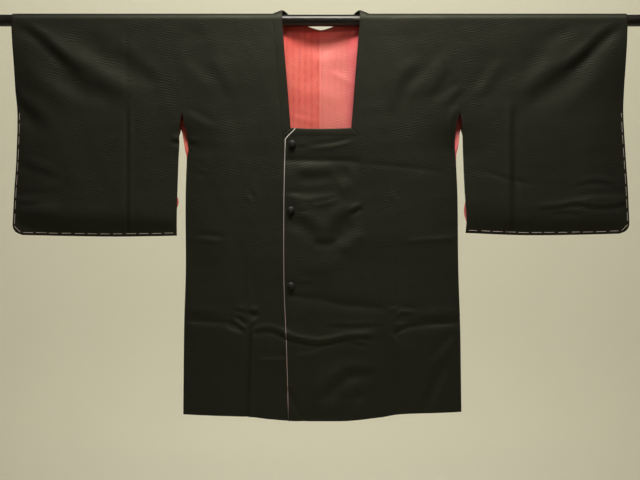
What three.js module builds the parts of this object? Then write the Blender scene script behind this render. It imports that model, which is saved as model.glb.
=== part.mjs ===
// A michiyuki coat hanging on a round rod that runs through both of its sleeves.
// Millimetres, +Z up. The origin is on the rod's axis at the middle of the neck, X runs along
// the rod and the fronts face -Y. Left and right are the wearer's, so the left side is at +X.
//
// Every cloth piece is laid out on the draped coat in two cloth coordinates: x, and q, the length
// of cloth from the shoulder line, negative down the front and positive down the back.
import * as THREE from 'three';

// ---------------------------------------------------------------- driving dimensions
const ROD_RADIUS = 12.5;
const ROD_LENGTH = 1400;
const ROD_SIDES = 32;

const SILK = 1.6; // thickness of the outer cloth
const LINING = 1.0; // thickness of the lining
const SEAM_GAP = 0.3; // between neighbouring pieces
const ROD_GAP = 0.5; // between the rod and the cloth that turns over it
const LAYER = SILK + SEAM_GAP + 0.1; // step from one layer of outer cloth to the next

const BEND = ROD_RADIUS + ROD_GAP + SILK / 2; // middle of the cloth over the rod
const FRONT_DEPTH = BEND; // middle of the front wall, from the rod's axis
const BACK_DEPTH = BEND + LINING + SEAM_GAP; // the back wall has the lining inside it
const OVER_ROD = (BEND * Math.PI) / 2; // cloth from the shoulder line to the rod's side
const PINCH = 1.0; // middle of a wall from the coat's mid-plane where front and back are sewn

const ARMHOLE_X = 293; // seam between body and sleeve
const ARMHOLE_Z = -196; // lower end of that seam
const SLIT_Z = -284; // lower end of the slit under the arm, top of the side seam
const CUFF_Z = -187; // lower end of the cuff opening
const SLEEVE_CORNER = 20; // radius of the sleeve's lower outer corner
const LENS = 95; // width over which the walls close up to a seam
const FURI_DEPTH = 0.5; // share of the depth that is left at the sleeve's open inner edge

const NECK_SHOULDER_X = 82; // inner edge of the neckband on the shoulder line
const NECK_CORNER = { x: 64, z: -229 }; // inner edge of the neckband at its lower corner
const SEAM_SHOULDER_X = 102; // outer seam of the neckband on the shoulder line
const SEAM_CORNER = { x: 82, z: -246 }; // outer seam of the neckband at its lower corner
const SEAM_HEM_X = 71; // seam between body and overlap panel at the hem
const NECK_SAG = 2; // sag of the lower side of the neck opening
const NECK_BACK = 39.4; // cloth length from the shoulder line to the back neck edge
const NECK_BACK_SEAM = 59.4; // the same to the neckband's back seam
const NECK_BACK_POWER = 1.45; // roundness of the back neck edge
const NECK_BACK_SEAM_POWER = 1.8;
const NECK_PEAK = 6; // how far the neckband stands up at the shoulder
const NECK_PEAK_WIDTH = 9; // half length of that peak along the band

const OVERLAP_RAMP = { from: -20, to: -58 }; // where the overlap panels change layer
const UNDER_EDGE = 4; // free edge of the under panel, back from the opposite seam
const PIPING_WIDTH = 2.5;
const PIPING_THICKNESS = 1.9;

const BUTTON_RADIUS = 8;
const BUTTON_HEIGHT = 6.5;
const BUTTON_RIM = 1.6; // height of the button's upright rim
const BUTTON_SIDES = 14;
const BUTTON_CLEAR = 0.3; // over the panel's proudest place under it, besides the gap

const LINING_INSET = 6; // lining back from the side seams
const LINING_SLIT_INSET = 1.2; // the same in the slit under the arm
const LINING_NECK = 1.2; // lining back from the neck edge
const LINING_HEM = 26; // lining back from the hem
const LINING_TOP = 7; // lining's top edge below the level of the rod's axis
const FURI_PEEK = { z: -405, reach: 34, past: 3.4, inset: 1.4 }; // sleeve lining past the inner edge

const HEM_LEVEL = 832; // length of the body's rows, stretched to the hem's own line
const HEM_STRETCH = 300; // the stretch starts at this level

// ---------------------------------------------------------------- outlines
// Sleeve's outer edge, x from the middle at each height.
const SLEEVE_EDGE = [
  { z: 16, left: 647.5, right: 653 },
  { z: -12, left: 647.2, right: 653.5 },
  { z: -86, left: 644.5, right: 649.8 },
  { z: -149, left: 642.4, right: 647.5 },
  { z: -200, left: 641.4, right: 643.8 },
  { z: -297, left: 647, right: 646.2 },
  { z: -360, left: 651.2, right: 650.4 },
  { z: -460, left: 655.4, right: 655.4 },
];
// Sleeve's inner edge below the armhole.
const FURI_EDGE = [
  { z: -196, left: 293.2, right: 293.2 },
  { z: -240, left: 298, right: 298 },
  { z: -300, left: 301, right: 300.5 },
  { z: -360, left: 303.6, right: 303.5 },
  { z: -423, left: 308, right: 305 },
  { z: -460, left: 306, right: 305.5 },
];
// Sleeve's lower fold, z at each x.
const SLEEVE_BOTTOM = [
  { x: 300, left: -449, right: -455 },
  { x: 430, left: -454, right: -457 },
  { x: 545, left: -453, right: -455.5 },
  { x: 655, left: -450, right: -453 },
];
// Side edge of the body's front.
const FRONT_SIDE = [
  { z: -196, left: 292.8, right: 292.8 },
  { z: -240, left: 288.3, right: 286 },
  { z: -284, left: 287.6, right: 284 },
  { z: -381, left: 289.6, right: 287 },
  { z: -529, left: 291.3, right: 286.6 },
  { z: -650, left: 295.2, right: 290 },
  { z: -840, left: 297.8, right: 292 },
];
// Side edge of the body's back, which stands out past the front in the slit.
const BACK_SIDE = [
  { z: -196, left: 292.8, right: 292.8 },
  { z: -222, left: 294.4, right: 294.4 },
  { z: -248, left: 294, right: 293.6 },
  { z: -284, left: 288.1, right: 284.5 },
  { z: -381, left: 289.6, right: 287 },
  { z: -529, left: 291.3, right: 286.6 },
  { z: -650, left: 295.2, right: 290 },
  { z: -840, left: 297.8, right: 292 },
];
// Hem across both fronts.
const HEM = [
  { x: -290, z: -835.6 },
  { x: -154, z: -838.8 },
  { x: -110, z: -843.6 },
  { x: -60, z: -847.4 },
  { x: 0, z: -848.4 },
  { x: 60, z: -847.4 },
  { x: 124, z: -840.4 },
  { x: 169, z: -833.4 },
  { x: 296, z: -830.2 },
];
const BACK_HEM_RISE = 3; // the back hem is this much shorter
// Outer side of the piping, down the free edge of the top panel.
const FREE_EDGE = [
  { x: -55, z: -230.6 },
  { x: -71, z: -246.6 },
  { x: -76, z: -253 },
  { x: -77.4, z: -297 },
  { x: -79, z: -381 },
  { x: -79.4, z: -466 },
  { x: -79, z: -550 },
  { x: -77, z: -605 },
  { x: -74, z: -666 },
  { x: -71.5, z: -745 },
  { x: -69, z: -846.6 },
];
const BUTTONS = [
  { x: -60.6, z: -262.5 },
  { x: -63.3, z: -402.4 },
  { x: -63.3, z: -562 },
];

// ---------------------------------------------------------------- folds
// Each fold is a soft trough (height below 0) or ridge along a line of places on the cloth.
const FRONT_FOLDS = [
  { path: [[-147, -385], [-147, -600], [-146, -835]], width: 20, height: -2.6 },
  { path: [[162, -385], [162, -610], [164, -832]], width: 20, height: -2.2 },
  { path: [[-285, -640], [-185, -645]], width: 18, height: 3 },
  { path: [[-140, -664], [-76, -660], [2, -680], [68, -668], [108, -668]], width: 16, height: -3.2 },
  { path: [[-60, -642], [60, -644]], width: 18, height: 2.4 },
  { path: [[175, -652], [251, -641], [292, -637]], width: 17, height: 3 },
  { path: [[-36, -424], [8, -468], [74, -398]], width: 24, height: -3 },
  { path: [[-58, -300], [70, -304]], width: 20, height: 2.2 },
  { path: [[-52, -372], [78, -368]], width: 20, height: 2.4 },
  { path: [[-44, -588], [97, -604]], width: 18, height: -2 },
  { path: [[262, -65], [188, -139]], width: 24, height: -2.8 },
  { path: [[283, -139], [249, -193]], width: 20, height: -2.6 },
  { path: [[-285, -198], [-228, -228]], width: 17, height: 2.6 },
  { path: [[-264, -66], [-196, -132]], width: 24, height: -1.8 },
  { path: [[283, -668], [232, -742]], width: 22, height: -2 },
  { path: [[251, -700], [217, -806]], width: 22, height: -2 },
  { path: [[103, -680], [19, -806]], width: 24, height: -2 },
  { path: [[-648, -8], [-582, -54], [-519, -118], [-456, -149], [-400, -168]], width: 20, height: -3.4 },
  { path: [[-382, -107], [-319, -145]], width: 20, height: -2.6 },
  { path: [[-409, -190], [-409, -455]], width: 18, height: -2.6 },
  { path: [[-644, -386], [-588, -388]], width: 15, height: -2 },
  { path: [[635, -8], [589, -44], [536, -90], [494, -128], [412, -168]], width: 20, height: -3.4 },
  { path: [[405, -70], [405, -455]], width: 18, height: -2.4 },
  { path: [[641, -343], [534, -345]], width: 16, height: -2 },
  { path: [[641, -395], [544, -397]], width: 16, height: -2 },
];
const BACK_FOLDS = [
  { path: [[-147, -360], [-147, -830]], width: 22, height: -2.4 },
  { path: [[162, -360], [162, -828]], width: 22, height: -2.2 },
  { path: [[-287, -648], [-90, -664], [92, -660], [290, -644]], width: 20, height: -2.8 },
  { path: [[-60, -470], [10, -498], [84, -462]], width: 26, height: -2 },
  { path: [[-262, -96], [-190, -150]], width: 22, height: -2.4 },
  { path: [[264, -98], [196, -160]], width: 22, height: -2.4 },
  { path: [[-640, -14], [-560, -86], [-440, -160]], width: 22, height: -3 },
  { path: [[634, -14], [566, -74], [430, -164]], width: 22, height: -3 },
  { path: [[-409, -180], [-409, -455]], width: 20, height: -2.4 },
  { path: [[405, -120], [405, -455]], width: 20, height: -2.4 },
];
const FOLD_EDGE = 34; // folds run out over this distance to a sewn edge
const FOLD_TOP = { from: -16, to: -62 }; // and over this height below the rod

// ---------------------------------------------------------------- rows and columns
// Rows are levels below the rod's axis.
const BODY_FRONT_ROWS = [
  { to: 24, step: 24 },
  { to: 206, step: 36.4 },
  { to: 246, step: 20 },
  { to: 254, step: 8 },
  { to: 300, step: 23 },
  { to: 624, step: 40.5 },
  { to: HEM_LEVEL - 142, step: 16.5 },
  { to: HEM_LEVEL, step: 35.5 },
];
const BODY_BACK_ROWS = [
  { to: 76, step: 76 },
  { to: 196, step: 40 },
  { to: 292, step: 24 },
  { to: HEM_LEVEL, step: 54 },
];
const SLEEVE_ROWS = [
  { to: 24, step: 24 },
  { to: 204, step: 36 },
  { to: 412, step: 35 },
];
const SLEEVE_BACK_ROWS = [
  { to: 24, step: 24 },
  { to: 204, step: 45 },
  { to: 412, step: 52 },
];
const OVER_ROD_STEPS = 8;
const BODY_COLUMNS = [0, 0.14, 0.27, 0.37, 0.48, 0.62, 0.77, 0.9, 1];
const SLEEVE_COLUMNS = [0, 0.11, 0.21, 0.28, 0.34, 0.43, 0.56, 0.7, 0.85, 0.965, 1];
const OVERLAP_COLUMNS = [-58, -40, -20, 10, 40, 62]; // x, shared by both overlap panels
const CORNER_ROWS = [1, 0.55, 0.2, 0.03]; // share of the corner's radius above the lower fold
const NECK_STEPS = 16; // stretches of the neckband round the back
const NECK_SIDE_STEPS = 8; // and up each side

// ---------------------------------------------------------------- small maths
const lerp = (a, b, t) => a + (b - a) * t;
const clamp01 = (t) => Math.min(1, Math.max(0, t));
const smooth = (from, to, value) => {
  const t = clamp01((value - from) / (to - from));
  return t * t * (3 - 2 * t);
};

/** Column `out` of a table at `value` of its column `key`, on a smooth curve through its rows. */
function tableAt(table, key, value, out) {
  const rising = table[1][key] > table[0][key];
  const rows = rising ? table : [...table].reverse();
  const last = rows.length - 1;
  const v = Math.min(rows[last][key], Math.max(rows[0][key], value));
  let i = 0;
  while (i < last - 1 && v > rows[i + 1][key]) i += 1;
  const slope = (k) => {
    const a = rows[Math.max(0, k - 1)];
    const b = rows[Math.min(last, k + 1)];
    return (b[out] - a[out]) / (b[key] - a[key]);
  };
  const span = rows[i + 1][key] - rows[i][key];
  const t = (v - rows[i][key]) / span;
  const start = (1 + 2 * t) * (1 - t) * (1 - t) * rows[i][out] + t * (1 - t) * (1 - t) * span * slope(i);
  const end = t * t * (3 - 2 * t) * rows[i + 1][out] + t * t * (t - 1) * span * slope(i + 1);
  return start + end;
}

/** Lengths from 0 down, in the steps of a row table. */
function levels(table) {
  const list = [0];
  for (const { to, step } of table) {
    const from = list[list.length - 1];
    const count = Math.max(1, Math.round((to - from) / step));
    for (let i = 1; i <= count; i += 1) list.push(lerp(from, to, i / count));
  }
  return list;
}

const steps = (count) => Array.from({ length: count + 1 }, (_, i) => i / count);

// ---------------------------------------------------------------- outlines as functions
const sideName = (x) => (x > 0 ? 'left' : 'right');
const sleeveEdge = (side, z) => tableAt(SLEEVE_EDGE, 'z', z, side);
const furiEdge = (side, z) => tableAt(FURI_EDGE, 'z', z, side);
const sleeveBottom = (side, x) => tableAt(SLEEVE_BOTTOM, 'x', Math.abs(x), side);
const frontSide = (side, z) => tableAt(FRONT_SIDE, 'z', z, side);
const backSide = (side, z) => tableAt(BACK_SIDE, 'z', z, side);
const hem = (x) => tableAt(HEM, 'x', x, 'z');

/** Height of a row at x: its level, stretched towards the hem's line. */
function rowHeight(level, x, rise = 0) {
  const stretch = smooth(HEM_STRETCH, HEM_LEVEL, level);
  return -level * lerp(1, (hem(x) + rise) / -HEM_LEVEL, stretch);
}

/** Outer seam of the neckband, then the seam of the overlap panel, at a level of the front. */
function frontSeam(level) {
  const corner = -SEAM_CORNER.z;
  if (level < corner) return lerp(SEAM_SHOULDER_X, SEAM_CORNER.x, clamp01(level / corner));
  return lerp(SEAM_CORNER.x, SEAM_HEM_X, (level - corner) / (HEM_LEVEL - corner));
}

/** Cloth length down the back to the neck edge, and to the neckband's seam. */
const neckEdge = (x) => NECK_BACK * (1 - Math.pow(clamp01(Math.abs(x) / NECK_SHOULDER_X), NECK_BACK_POWER));
const neckSeam = (x) => NECK_BACK_SEAM
  * (1 - Math.pow(clamp01(Math.abs(x) / SEAM_SHOULDER_X), NECK_BACK_SEAM_POWER));

/** Inner edge of the body's back at cloth length q: along the neckband, then the centre seam. */
function backSeam(q) {
  const share = clamp01(1 - q / NECK_BACK_SEAM);
  return SEAM_SHOULDER_X * Math.pow(share, 1 / NECK_BACK_SEAM_POWER);
}

// ---------------------------------------------------------------- the draped surface
/** Height of the folds at a place, from the distance to each fold's line. */
function relief(folds, x, z) {
  let height = 0;
  for (const fold of folds) {
    let nearest = Infinity;
    for (let i = 0; i + 1 < fold.path.length; i += 1) {
      const [ax, az] = fold.path[i];
      const [bx, bz] = fold.path[i + 1];
      const square = (bx - ax) ** 2 + (bz - az) ** 2;
      const along = clamp01(((x - ax) * (bx - ax) + (z - az) * (bz - az)) / square);
      nearest = Math.min(nearest, Math.hypot(x - lerp(ax, bx, along), z - lerp(az, bz, along)));
    }
    height += fold.height * Math.exp(-((nearest / fold.width) ** 2));
  }
  return height * smooth(FOLD_TOP.from, FOLD_TOP.to, z);
}

/** Rise of a wall from a closed edge, 0 at the edge and 1 where it is fully apart. */
const lens = (distance, width = LENS) => Math.sin((clamp01(distance / width) * Math.PI) / 2);

/** Distance of a wall's middle from the mid-plane, for the body. */
function bodyDepth(x, z, depth, folds) {
  const side = sideName(x);
  const edge = folds === FRONT_FOLDS ? frontSide(side, z) : backSide(side, z);
  const sewn = smooth(ARMHOLE_Z, SLIT_Z, z);
  const distance = Math.max(0, edge - Math.abs(x));
  const open = lerp(1, lens(distance), sewn);
  const calm = lerp(1, clamp01(distance / FOLD_EDGE), sewn);
  return PINCH + (depth - PINCH) * open + relief(folds, x, z) * calm;
}

/** The same for a sleeve, which is closed at its bottom and, below the cuff, at its outer edge. */
function sleeveDepth(x, z, depth, folds) {
  const side = sideName(x);
  const toEdge = Math.max(0, sleeveEdge(side, z) - Math.abs(x));
  const toBottom = Math.max(0, z - sleeveBottom(side, x));
  const toFuri = Math.max(0, Math.abs(x) - furiEdge(side, z));
  const sewn = smooth(-30, CUFF_Z, z);
  const loose = smooth(ARMHOLE_Z, ARMHOLE_Z - 100, z);
  const outer = lerp(1, lens(toEdge), sewn);
  const inner = lerp(1, lerp(FURI_DEPTH, 1, lens(toFuri)), loose);
  const calm = lerp(1, clamp01(toEdge / FOLD_EDGE), sewn) * clamp01(toBottom / FOLD_EDGE);
  return PINCH + (depth - PINCH) * outer * inner * lens(toBottom) + relief(folds, x, z) * calm;
}

/** The place in space of a point x, q of the cloth; `layer` moves it off the outer cloth. */
function drape(x, q, depthAt, layer = 0) {
  const bent = Math.min(1, Math.abs(q) / OVER_ROD) * (Math.PI / 2);
  const z = BEND * Math.cos(bent) - Math.max(0, Math.abs(q) - OVER_ROD);
  const front = q < 0;
  const folds = front ? FRONT_FOLDS : BACK_FOLDS;
  const depth = depthAt(x, z, front ? FRONT_DEPTH : BACK_DEPTH, folds) + layer;
  return new THREE.Vector3(x, (front ? -1 : 1) * depth * Math.sin(bent), z);
}

/** Height z of a place that lies at cloth length q, and back. */
const heightAt = (q) => BEND * Math.cos(Math.min(1, Math.abs(q) / OVER_ROD) * (Math.PI / 2))
  - Math.max(0, Math.abs(q) - OVER_ROD);
const clothAt = (z) => OVER_ROD - z;

// ---------------------------------------------------------------- walls
/** Unit normals of a grid of points; `closed` says that the last row joins the first. */
function gridNormals(grid, closed) {
  const rows = grid.length;
  const columns = grid[0].length;
  return grid.map((row, i) => row.map((_, j) => {
    const up = closed ? grid[(i + 1) % rows][j] : grid[Math.min(rows - 1, i + 1)][j];
    const down = closed ? grid[(i + rows - 1) % rows][j] : grid[Math.max(0, i - 1)][j];
    const next = grid[i][Math.min(columns - 1, j + 1)];
    const before = grid[i][Math.max(0, j - 1)];
    return up.clone().sub(down).cross(next.clone().sub(before)).normalize();
  }));
}

/** A closed wall of even thickness around a grid of middle points, rows by columns. */
function wall(grid, thickness, closed = false) {
  const rows = grid.length;
  const columns = grid[0].length;
  const normals = gridNormals(grid, closed);
  const faces = [0.5, -0.5].map((share) => grid.map((row, i) => row.map((point, j) => (
    point.clone().addScaledVector(normals[i][j], thickness * share)))));
  const positions = [];
  const quad = (a, b, c, d) => {
    for (const p of [a, b, c, a, c, d]) positions.push(p.x, p.y, p.z);
  };
  const [outer, inner] = faces;
  const spans = closed ? rows : rows - 1;
  for (let i = 0; i < spans; i += 1) {
    const k = (i + 1) % rows;
    for (let j = 0; j + 1 < columns; j += 1) {
      quad(outer[i][j], outer[k][j], outer[k][j + 1], outer[i][j + 1]);
      quad(inner[i][j], inner[i][j + 1], inner[k][j + 1], inner[k][j]);
    }
    const end = columns - 1;
    quad(outer[i][0], inner[i][0], inner[k][0], outer[k][0]);
    quad(outer[i][end], outer[k][end], inner[k][end], inner[i][end]);
  }
  for (let j = 0; !closed && j + 1 < columns; j += 1) {
    const end = rows - 1;
    quad(outer[0][j], outer[0][j + 1], inner[0][j + 1], inner[0][j]);
    quad(outer[end][j], inner[end][j], inner[end][j + 1], outer[end][j + 1]);
  }
  return facingOut(positions);
}

/** A geometry of loose triangles, turned round if they enclose a negative volume. */
function facingOut(positions) {
  let volume = 0;
  const corner = (i) => new THREE.Vector3(positions[i], positions[i + 1], positions[i + 2]);
  for (let i = 0; i < positions.length; i += 9) {
    volume += corner(i).dot(corner(i + 3).cross(corner(i + 6)));
  }
  if (volume < 0) {
    for (let i = 0; i < positions.length; i += 9) {
      for (let k = 0; k < 3; k += 1) {
        const kept = positions[i + 3 + k];
        positions[i + 3 + k] = positions[i + 6 + k];
        positions[i + 6 + k] = kept;
      }
    }
  }
  const geometry = new THREE.BufferGeometry();
  geometry.setAttribute('position', new THREE.Float32BufferAttribute(positions, 3));
  geometry.computeVertexNormals();
  return geometry;
}

/** A grid's points moved along their normals. */
function moved(grid, distance) {
  const normals = gridNormals(grid, false);
  return grid.map((row, i) => row.map((point, j) => (
    point.clone().addScaledVector(normals[i][j], distance))));
}

/** The point of a grid's row between its columns; past the ends the row runs straight on. */
function alongRow(row, column) {
  const j = Math.min(row.length - 2, Math.max(0, Math.floor(column)));
  return row[j].clone().lerp(row[j + 1], column - j);
}

// ---------------------------------------------------------------- pieces
const inward = (sign) => sign * ((SILK + LINING) / 2 + SEAM_GAP);

/** Cloth lengths of the rows that turn over the rod and, on the back, round the neck. */
const overRod = steps(OVER_ROD_STEPS).slice(1, -1).map((t) => lerp(-OVER_ROD, OVER_ROD, t));
const neckRows = steps(NECK_STEPS / 2).slice(1)
  .map((t) => neckSeam(SEAM_SHOULDER_X * Math.cos((t * Math.PI) / 2)));

/** Middle points of one body panel's front, from the hem up to the level of the rod's axis. */
function bodyFront(sign) {
  const side = sideName(sign);
  return levels(BODY_FRONT_ROWS).reverse().map((level) => BODY_COLUMNS.map((t) => {
    const inner = frontSeam(level) + SEAM_GAP / 2;
    const x = sign * lerp(inner, frontSide(side, -level) - SEAM_GAP / 2, t);
    return drape(x, -clothAt(rowHeight(level, x)), bodyDepth);
  }));
}

/** The same for its turn over the rod and the stretch beside the neckband. */
function bodyShoulder(sign) {
  const front = overRod.filter((q) => q <= 0);
  const back = [...neckRows, ...overRod.filter((q) => q > 0), OVER_ROD].sort((a, b) => a - b);
  const apart = back.filter((q, i) => i === 0 || q - back[i - 1] > 1.5 || neckRows.includes(q));
  return [...front, ...apart].map((q) => BODY_COLUMNS.map((t) => {
    const inner = (q < 0 ? frontSeam(0) : backSeam(q)) + SEAM_GAP / 2;
    return drape(sign * lerp(inner, ARMHOLE_X - SEAM_GAP / 2, t), q, bodyDepth);
  }));
}

/** The same for its back below the neckband, down to the hem. */
function bodyBack(sign) {
  const side = sideName(sign);
  return levels(BODY_BACK_ROWS).slice(1).map((level) => BODY_COLUMNS.map((t) => {
    const x = sign * lerp(SEAM_GAP / 2, backSide(side, -level) - SEAM_GAP / 2, t);
    return drape(x, clothAt(rowHeight(level, x, BACK_HEM_RISE)), bodyDepth);
  }));
}

/** One body panel, uncut from the front hem over the shoulder to the back hem. */
const bodyPanel = (sign) => wall([...bodyFront(sign), ...bodyShoulder(sign), ...bodyBack(sign)], SILK);

/** Middle points of a sleeve's row at height z and cloth length q. */
function sleeveRow(sign, z, q) {
  const side = sideName(sign);
  const low = sleeveBottom(side, sleeveEdge(side, -400));
  const inside = clamp01((low + SLEEVE_CORNER - z) / SLEEVE_CORNER);
  const cut = SLEEVE_CORNER * (1 - Math.sqrt(1 - inside * inside));
  const start = z > ARMHOLE_Z ? ARMHOLE_X + SEAM_GAP / 2 : furiEdge(side, z);
  return SLEEVE_COLUMNS.map((t) => {
    const x = sign * lerp(start, sleeveEdge(side, z) - cut, t);
    const down = smooth(-380, low, z) * (sleeveBottom(side, x) - low);
    return drape(x, q < 0 ? q + down : q - down, sleeveDepth);
  });
}

/** Heights of a sleeve's rows from the rod's axis down to its lower fold. */
function sleeveHeights(sign, table) {
  const side = sideName(sign);
  const low = sleeveBottom(side, sleeveEdge(side, -400));
  const corner = CORNER_ROWS.map((share) => low + share * SLEEVE_CORNER);
  return [...levels(table).map((level) => -level), ...corner];
}

/** One sleeve: folded over the shoulder, closed along the bottom and below the cuff. */
function sleevePanel(sign) {
  const side = sideName(sign);
  const low = sleeveBottom(side, sleeveEdge(side, -400));
  const fold = sleeveRow(sign, low, -clothAt(low)).map((p) => new THREE.Vector3(p.x, 0, p.z - PINCH));
  return wall([
    fold,
    ...sleeveHeights(sign, SLEEVE_ROWS).reverse().map((z) => sleeveRow(sign, z, -clothAt(z))),
    ...overRod.map((q) => sleeveRow(sign, heightAt(q), q)),
    ...sleeveHeights(sign, SLEEVE_BACK_ROWS).map((z) => sleeveRow(sign, z, clothAt(z))),
  ], SILK, true);
}

/** The neckband: up both sides of the neck opening and round the back, with mitred lower ends. */
function neckband() {
  const row = (inner, outer) => [0, 0.5, 1].map((t) => {
    const x = lerp(inner.x, outer.x, t);
    const q = lerp(inner.q, outer.q, t);
    const point = drape(x, q, bodyDepth);
    point.z += NECK_PEAK * (1 - t) * Math.exp(-((q / NECK_PEAK_WIDTH) ** 2));
    return point;
  });
  const upSide = (sign, share) => {
    const innerZ = lerp(NECK_CORNER.z + SEAM_GAP, 0, share);
    const outerZ = lerp(SEAM_CORNER.z + SEAM_GAP * 2, 0, share);
    const innerX = lerp(NECK_CORNER.x, NECK_SHOULDER_X, share);
    const outerX = frontSeam(-outerZ) - SEAM_GAP / 2;
    return row({ x: sign * innerX, q: -clothAt(innerZ) }, { x: sign * outerX, q: -clothAt(outerZ) });
  };
  const overFront = (sign, q) => (
    row({ x: sign * NECK_SHOULDER_X, q }, { x: sign * (SEAM_SHOULDER_X - SEAM_GAP / 2), q }));
  const round = (t) => {
    const across = Math.cos(t * Math.PI);
    const innerX = NECK_SHOULDER_X * across;
    const seamX = SEAM_SHOULDER_X * across;
    const outerX = seamX * (1 - SEAM_GAP / SEAM_SHOULDER_X);
    const outerQ = Math.max(0, neckSeam(seamX) - SEAM_GAP);
    return row({ x: innerX, q: neckEdge(innerX) }, { x: outerX, q: outerQ });
  };
  const sideSteps = steps(NECK_SIDE_STEPS);
  const bends = overRod.filter((q) => q < 0);
  return wall([
    ...sideSteps.map((share) => upSide(1, share)),
    ...bends.map((q) => overFront(1, q)),
    ...steps(NECK_STEPS).map(round),
    ...[...bends].reverse().map((q) => overFront(-1, q)),
    ...[...sideSteps].reverse().map((share) => upSide(-1, share)),
  ], SILK);
}

/** A line of places moved sideways across the cloth, towards the middle of the front. */
function beside(line, distance) {
  return line.map((point, i) => {
    const a = line[Math.max(0, i - 1)];
    const b = line[Math.min(line.length - 1, i + 1)];
    const length = Math.hypot(b.x - a.x, b.z - a.z);
    return {
      x: point.x - ((b.z - a.z) / length) * distance,
      z: point.z + ((b.x - a.x) / length) * distance,
    };
  });
}

/** x of a line of places at a level of the front. */
function lineAt(line, level) {
  let i = 0;
  while (i < line.length - 2 && -level < line[i + 1].z) i += 1;
  return lerp(line[i].x, line[i + 1].x, (-level - line[i].z) / (line[i + 1].z - line[i].z));
}

const PANEL_EDGE = beside(FREE_EDGE, PIPING_WIDTH + SEAM_GAP);
const PIPING_INNER = beside(FREE_EDGE, PIPING_WIDTH);

/** How far the overlap panels have changed over from the inner to the outer layer at x. */
const changedOver = (x) => smooth(OVERLAP_RAMP.from, OVERLAP_RAMP.to, x);
const topLayer = (x) => LAYER * changedOver(x);
const underLayer = (x) => -LAYER * (1 - changedOver(x));

/** Levels of the overlap panels' rows, the body's own below the neckband. */
const overlapLevels = [-SEAM_CORNER.z + SEAM_GAP,
  ...levels(BODY_FRONT_ROWS).filter((level) => level > -SEAM_CORNER.z + 1)];
/** Levels of the rows of a neckband stretch above them; the first one sags. */
const bandLevels = [-NECK_CORNER.z + SEAM_GAP, (-NECK_CORNER.z - SEAM_CORNER.z) / 2, -SEAM_CORNER.z];
const neckFloor = (x) => NECK_CORNER.z - SEAM_GAP - NECK_SAG * clamp01(1 - (x / NECK_CORNER.x) ** 2);

/** A place on the front in a given layer. */
const frontPlace = (x, z, layer) => drape(x, -clothAt(z), bodyDepth, layer(x));

/** An overlap panel between two edges, with the columns that both panels share. */
function overlapPanel(from, to, layer) {
  return wall(overlapLevels.map((level) => (
    [from(level), ...OVERLAP_COLUMNS, to(level)].map((x) => frontPlace(x, rowHeight(level, x), layer))
  )), SILK);
}

/** Overlap panel of the left front, which lies on top. */
const topPanel = () => overlapPanel(
  (level) => lineAt(PANEL_EDGE, level),
  (level) => frontSeam(level) - SEAM_GAP / 2,
  topLayer,
);

/** Overlap panel of the right front, which lies underneath. */
const underPanel = () => overlapPanel(
  (level) => -frontSeam(level) + SEAM_GAP / 2,
  (level) => frontSeam(level) - UNDER_EDGE,
  underLayer,
);

/** Stretch of neckband along the top of an overlap panel, mitred into the neckband's side. */
function bandStretch(from, to, layer) {
  return wall(bandLevels.map((level, i) => steps(6).map((t) => {
    const guess = lerp(from(level), to(level), t);
    const z = i === 0 ? neckFloor(guess) : -level;
    return frontPlace(lerp(from(-z), to(-z), t), z, layer);
  })), SILK);
}

/** x of the mitre between a neckband stretch and the neckband's side. */
const mitre = (level) => {
  const share = (-level - NECK_CORNER.z) / (SEAM_CORNER.z - NECK_CORNER.z);
  return lerp(NECK_CORNER.x, SEAM_CORNER.x, share) - SEAM_GAP * 1.6;
};

/** The pale piping down the free edge of the top panel. */
function piping() {
  const rows = [-FREE_EDGE[0].z, ...bandLevels.slice(1), ...overlapLevels.slice(1)];
  return wall(rows.map((level) => [FREE_EDGE, PIPING_INNER].map((line) => {
    const x = lineAt(line, level);
    return frontPlace(x, rowHeight(level, x), topLayer);
  })), PIPING_THICKNESS);
}

/** Half of the back lining, from the back neck edge to just above the hem. */
function backLining(sign) {
  const side = sideName(sign);
  const shoulder = bodyShoulder(sign);
  const panel = [shoulder[shoulder.length - 1], ...bodyBack(sign)];
  const rowLevels = [NECK_BACK_SEAM - OVER_ROD, ...levels(BODY_BACK_ROWS).slice(1)];
  const last = BODY_COLUMNS.length - 1;
  const lastShare = BODY_COLUMNS[last] - BODY_COLUMNS[last - 1];
  const below = moved(panel, inward(sign)).map((row, i) => {
    const level = rowLevels[i];
    const slit = smooth(ARMHOLE_Z + 20, ARMHOLE_Z - 4, -level) * smooth(SLIT_Z - 10, SLIT_Z + 16, -level);
    const inset = lerp(LINING_INSET, LINING_SLIT_INSET, slit) / (backSide(side, -level) * lastShare);
    return [...row.slice(0, last), alongRow(row, last - inset)];
  });
  const end = below.length - 1;
  const share = 1 - LINING_HEM / (rowLevels[end] - rowLevels[end - 1]);
  below[end] = below[end].map((point, j) => below[end - 1][j].clone().lerp(point, share));
  const above = [0, 0.5].map((t) => below[0].map(({ x }) => {
    const top = Math.max(OVER_ROD + LINING_TOP, neckEdge(x) + LINING_NECK);
    return drape(x, lerp(top, NECK_BACK_SEAM, t), bodyDepth, -Math.abs(inward(sign)));
  }));
  return wall([...above, ...below], LINING);
}

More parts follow.
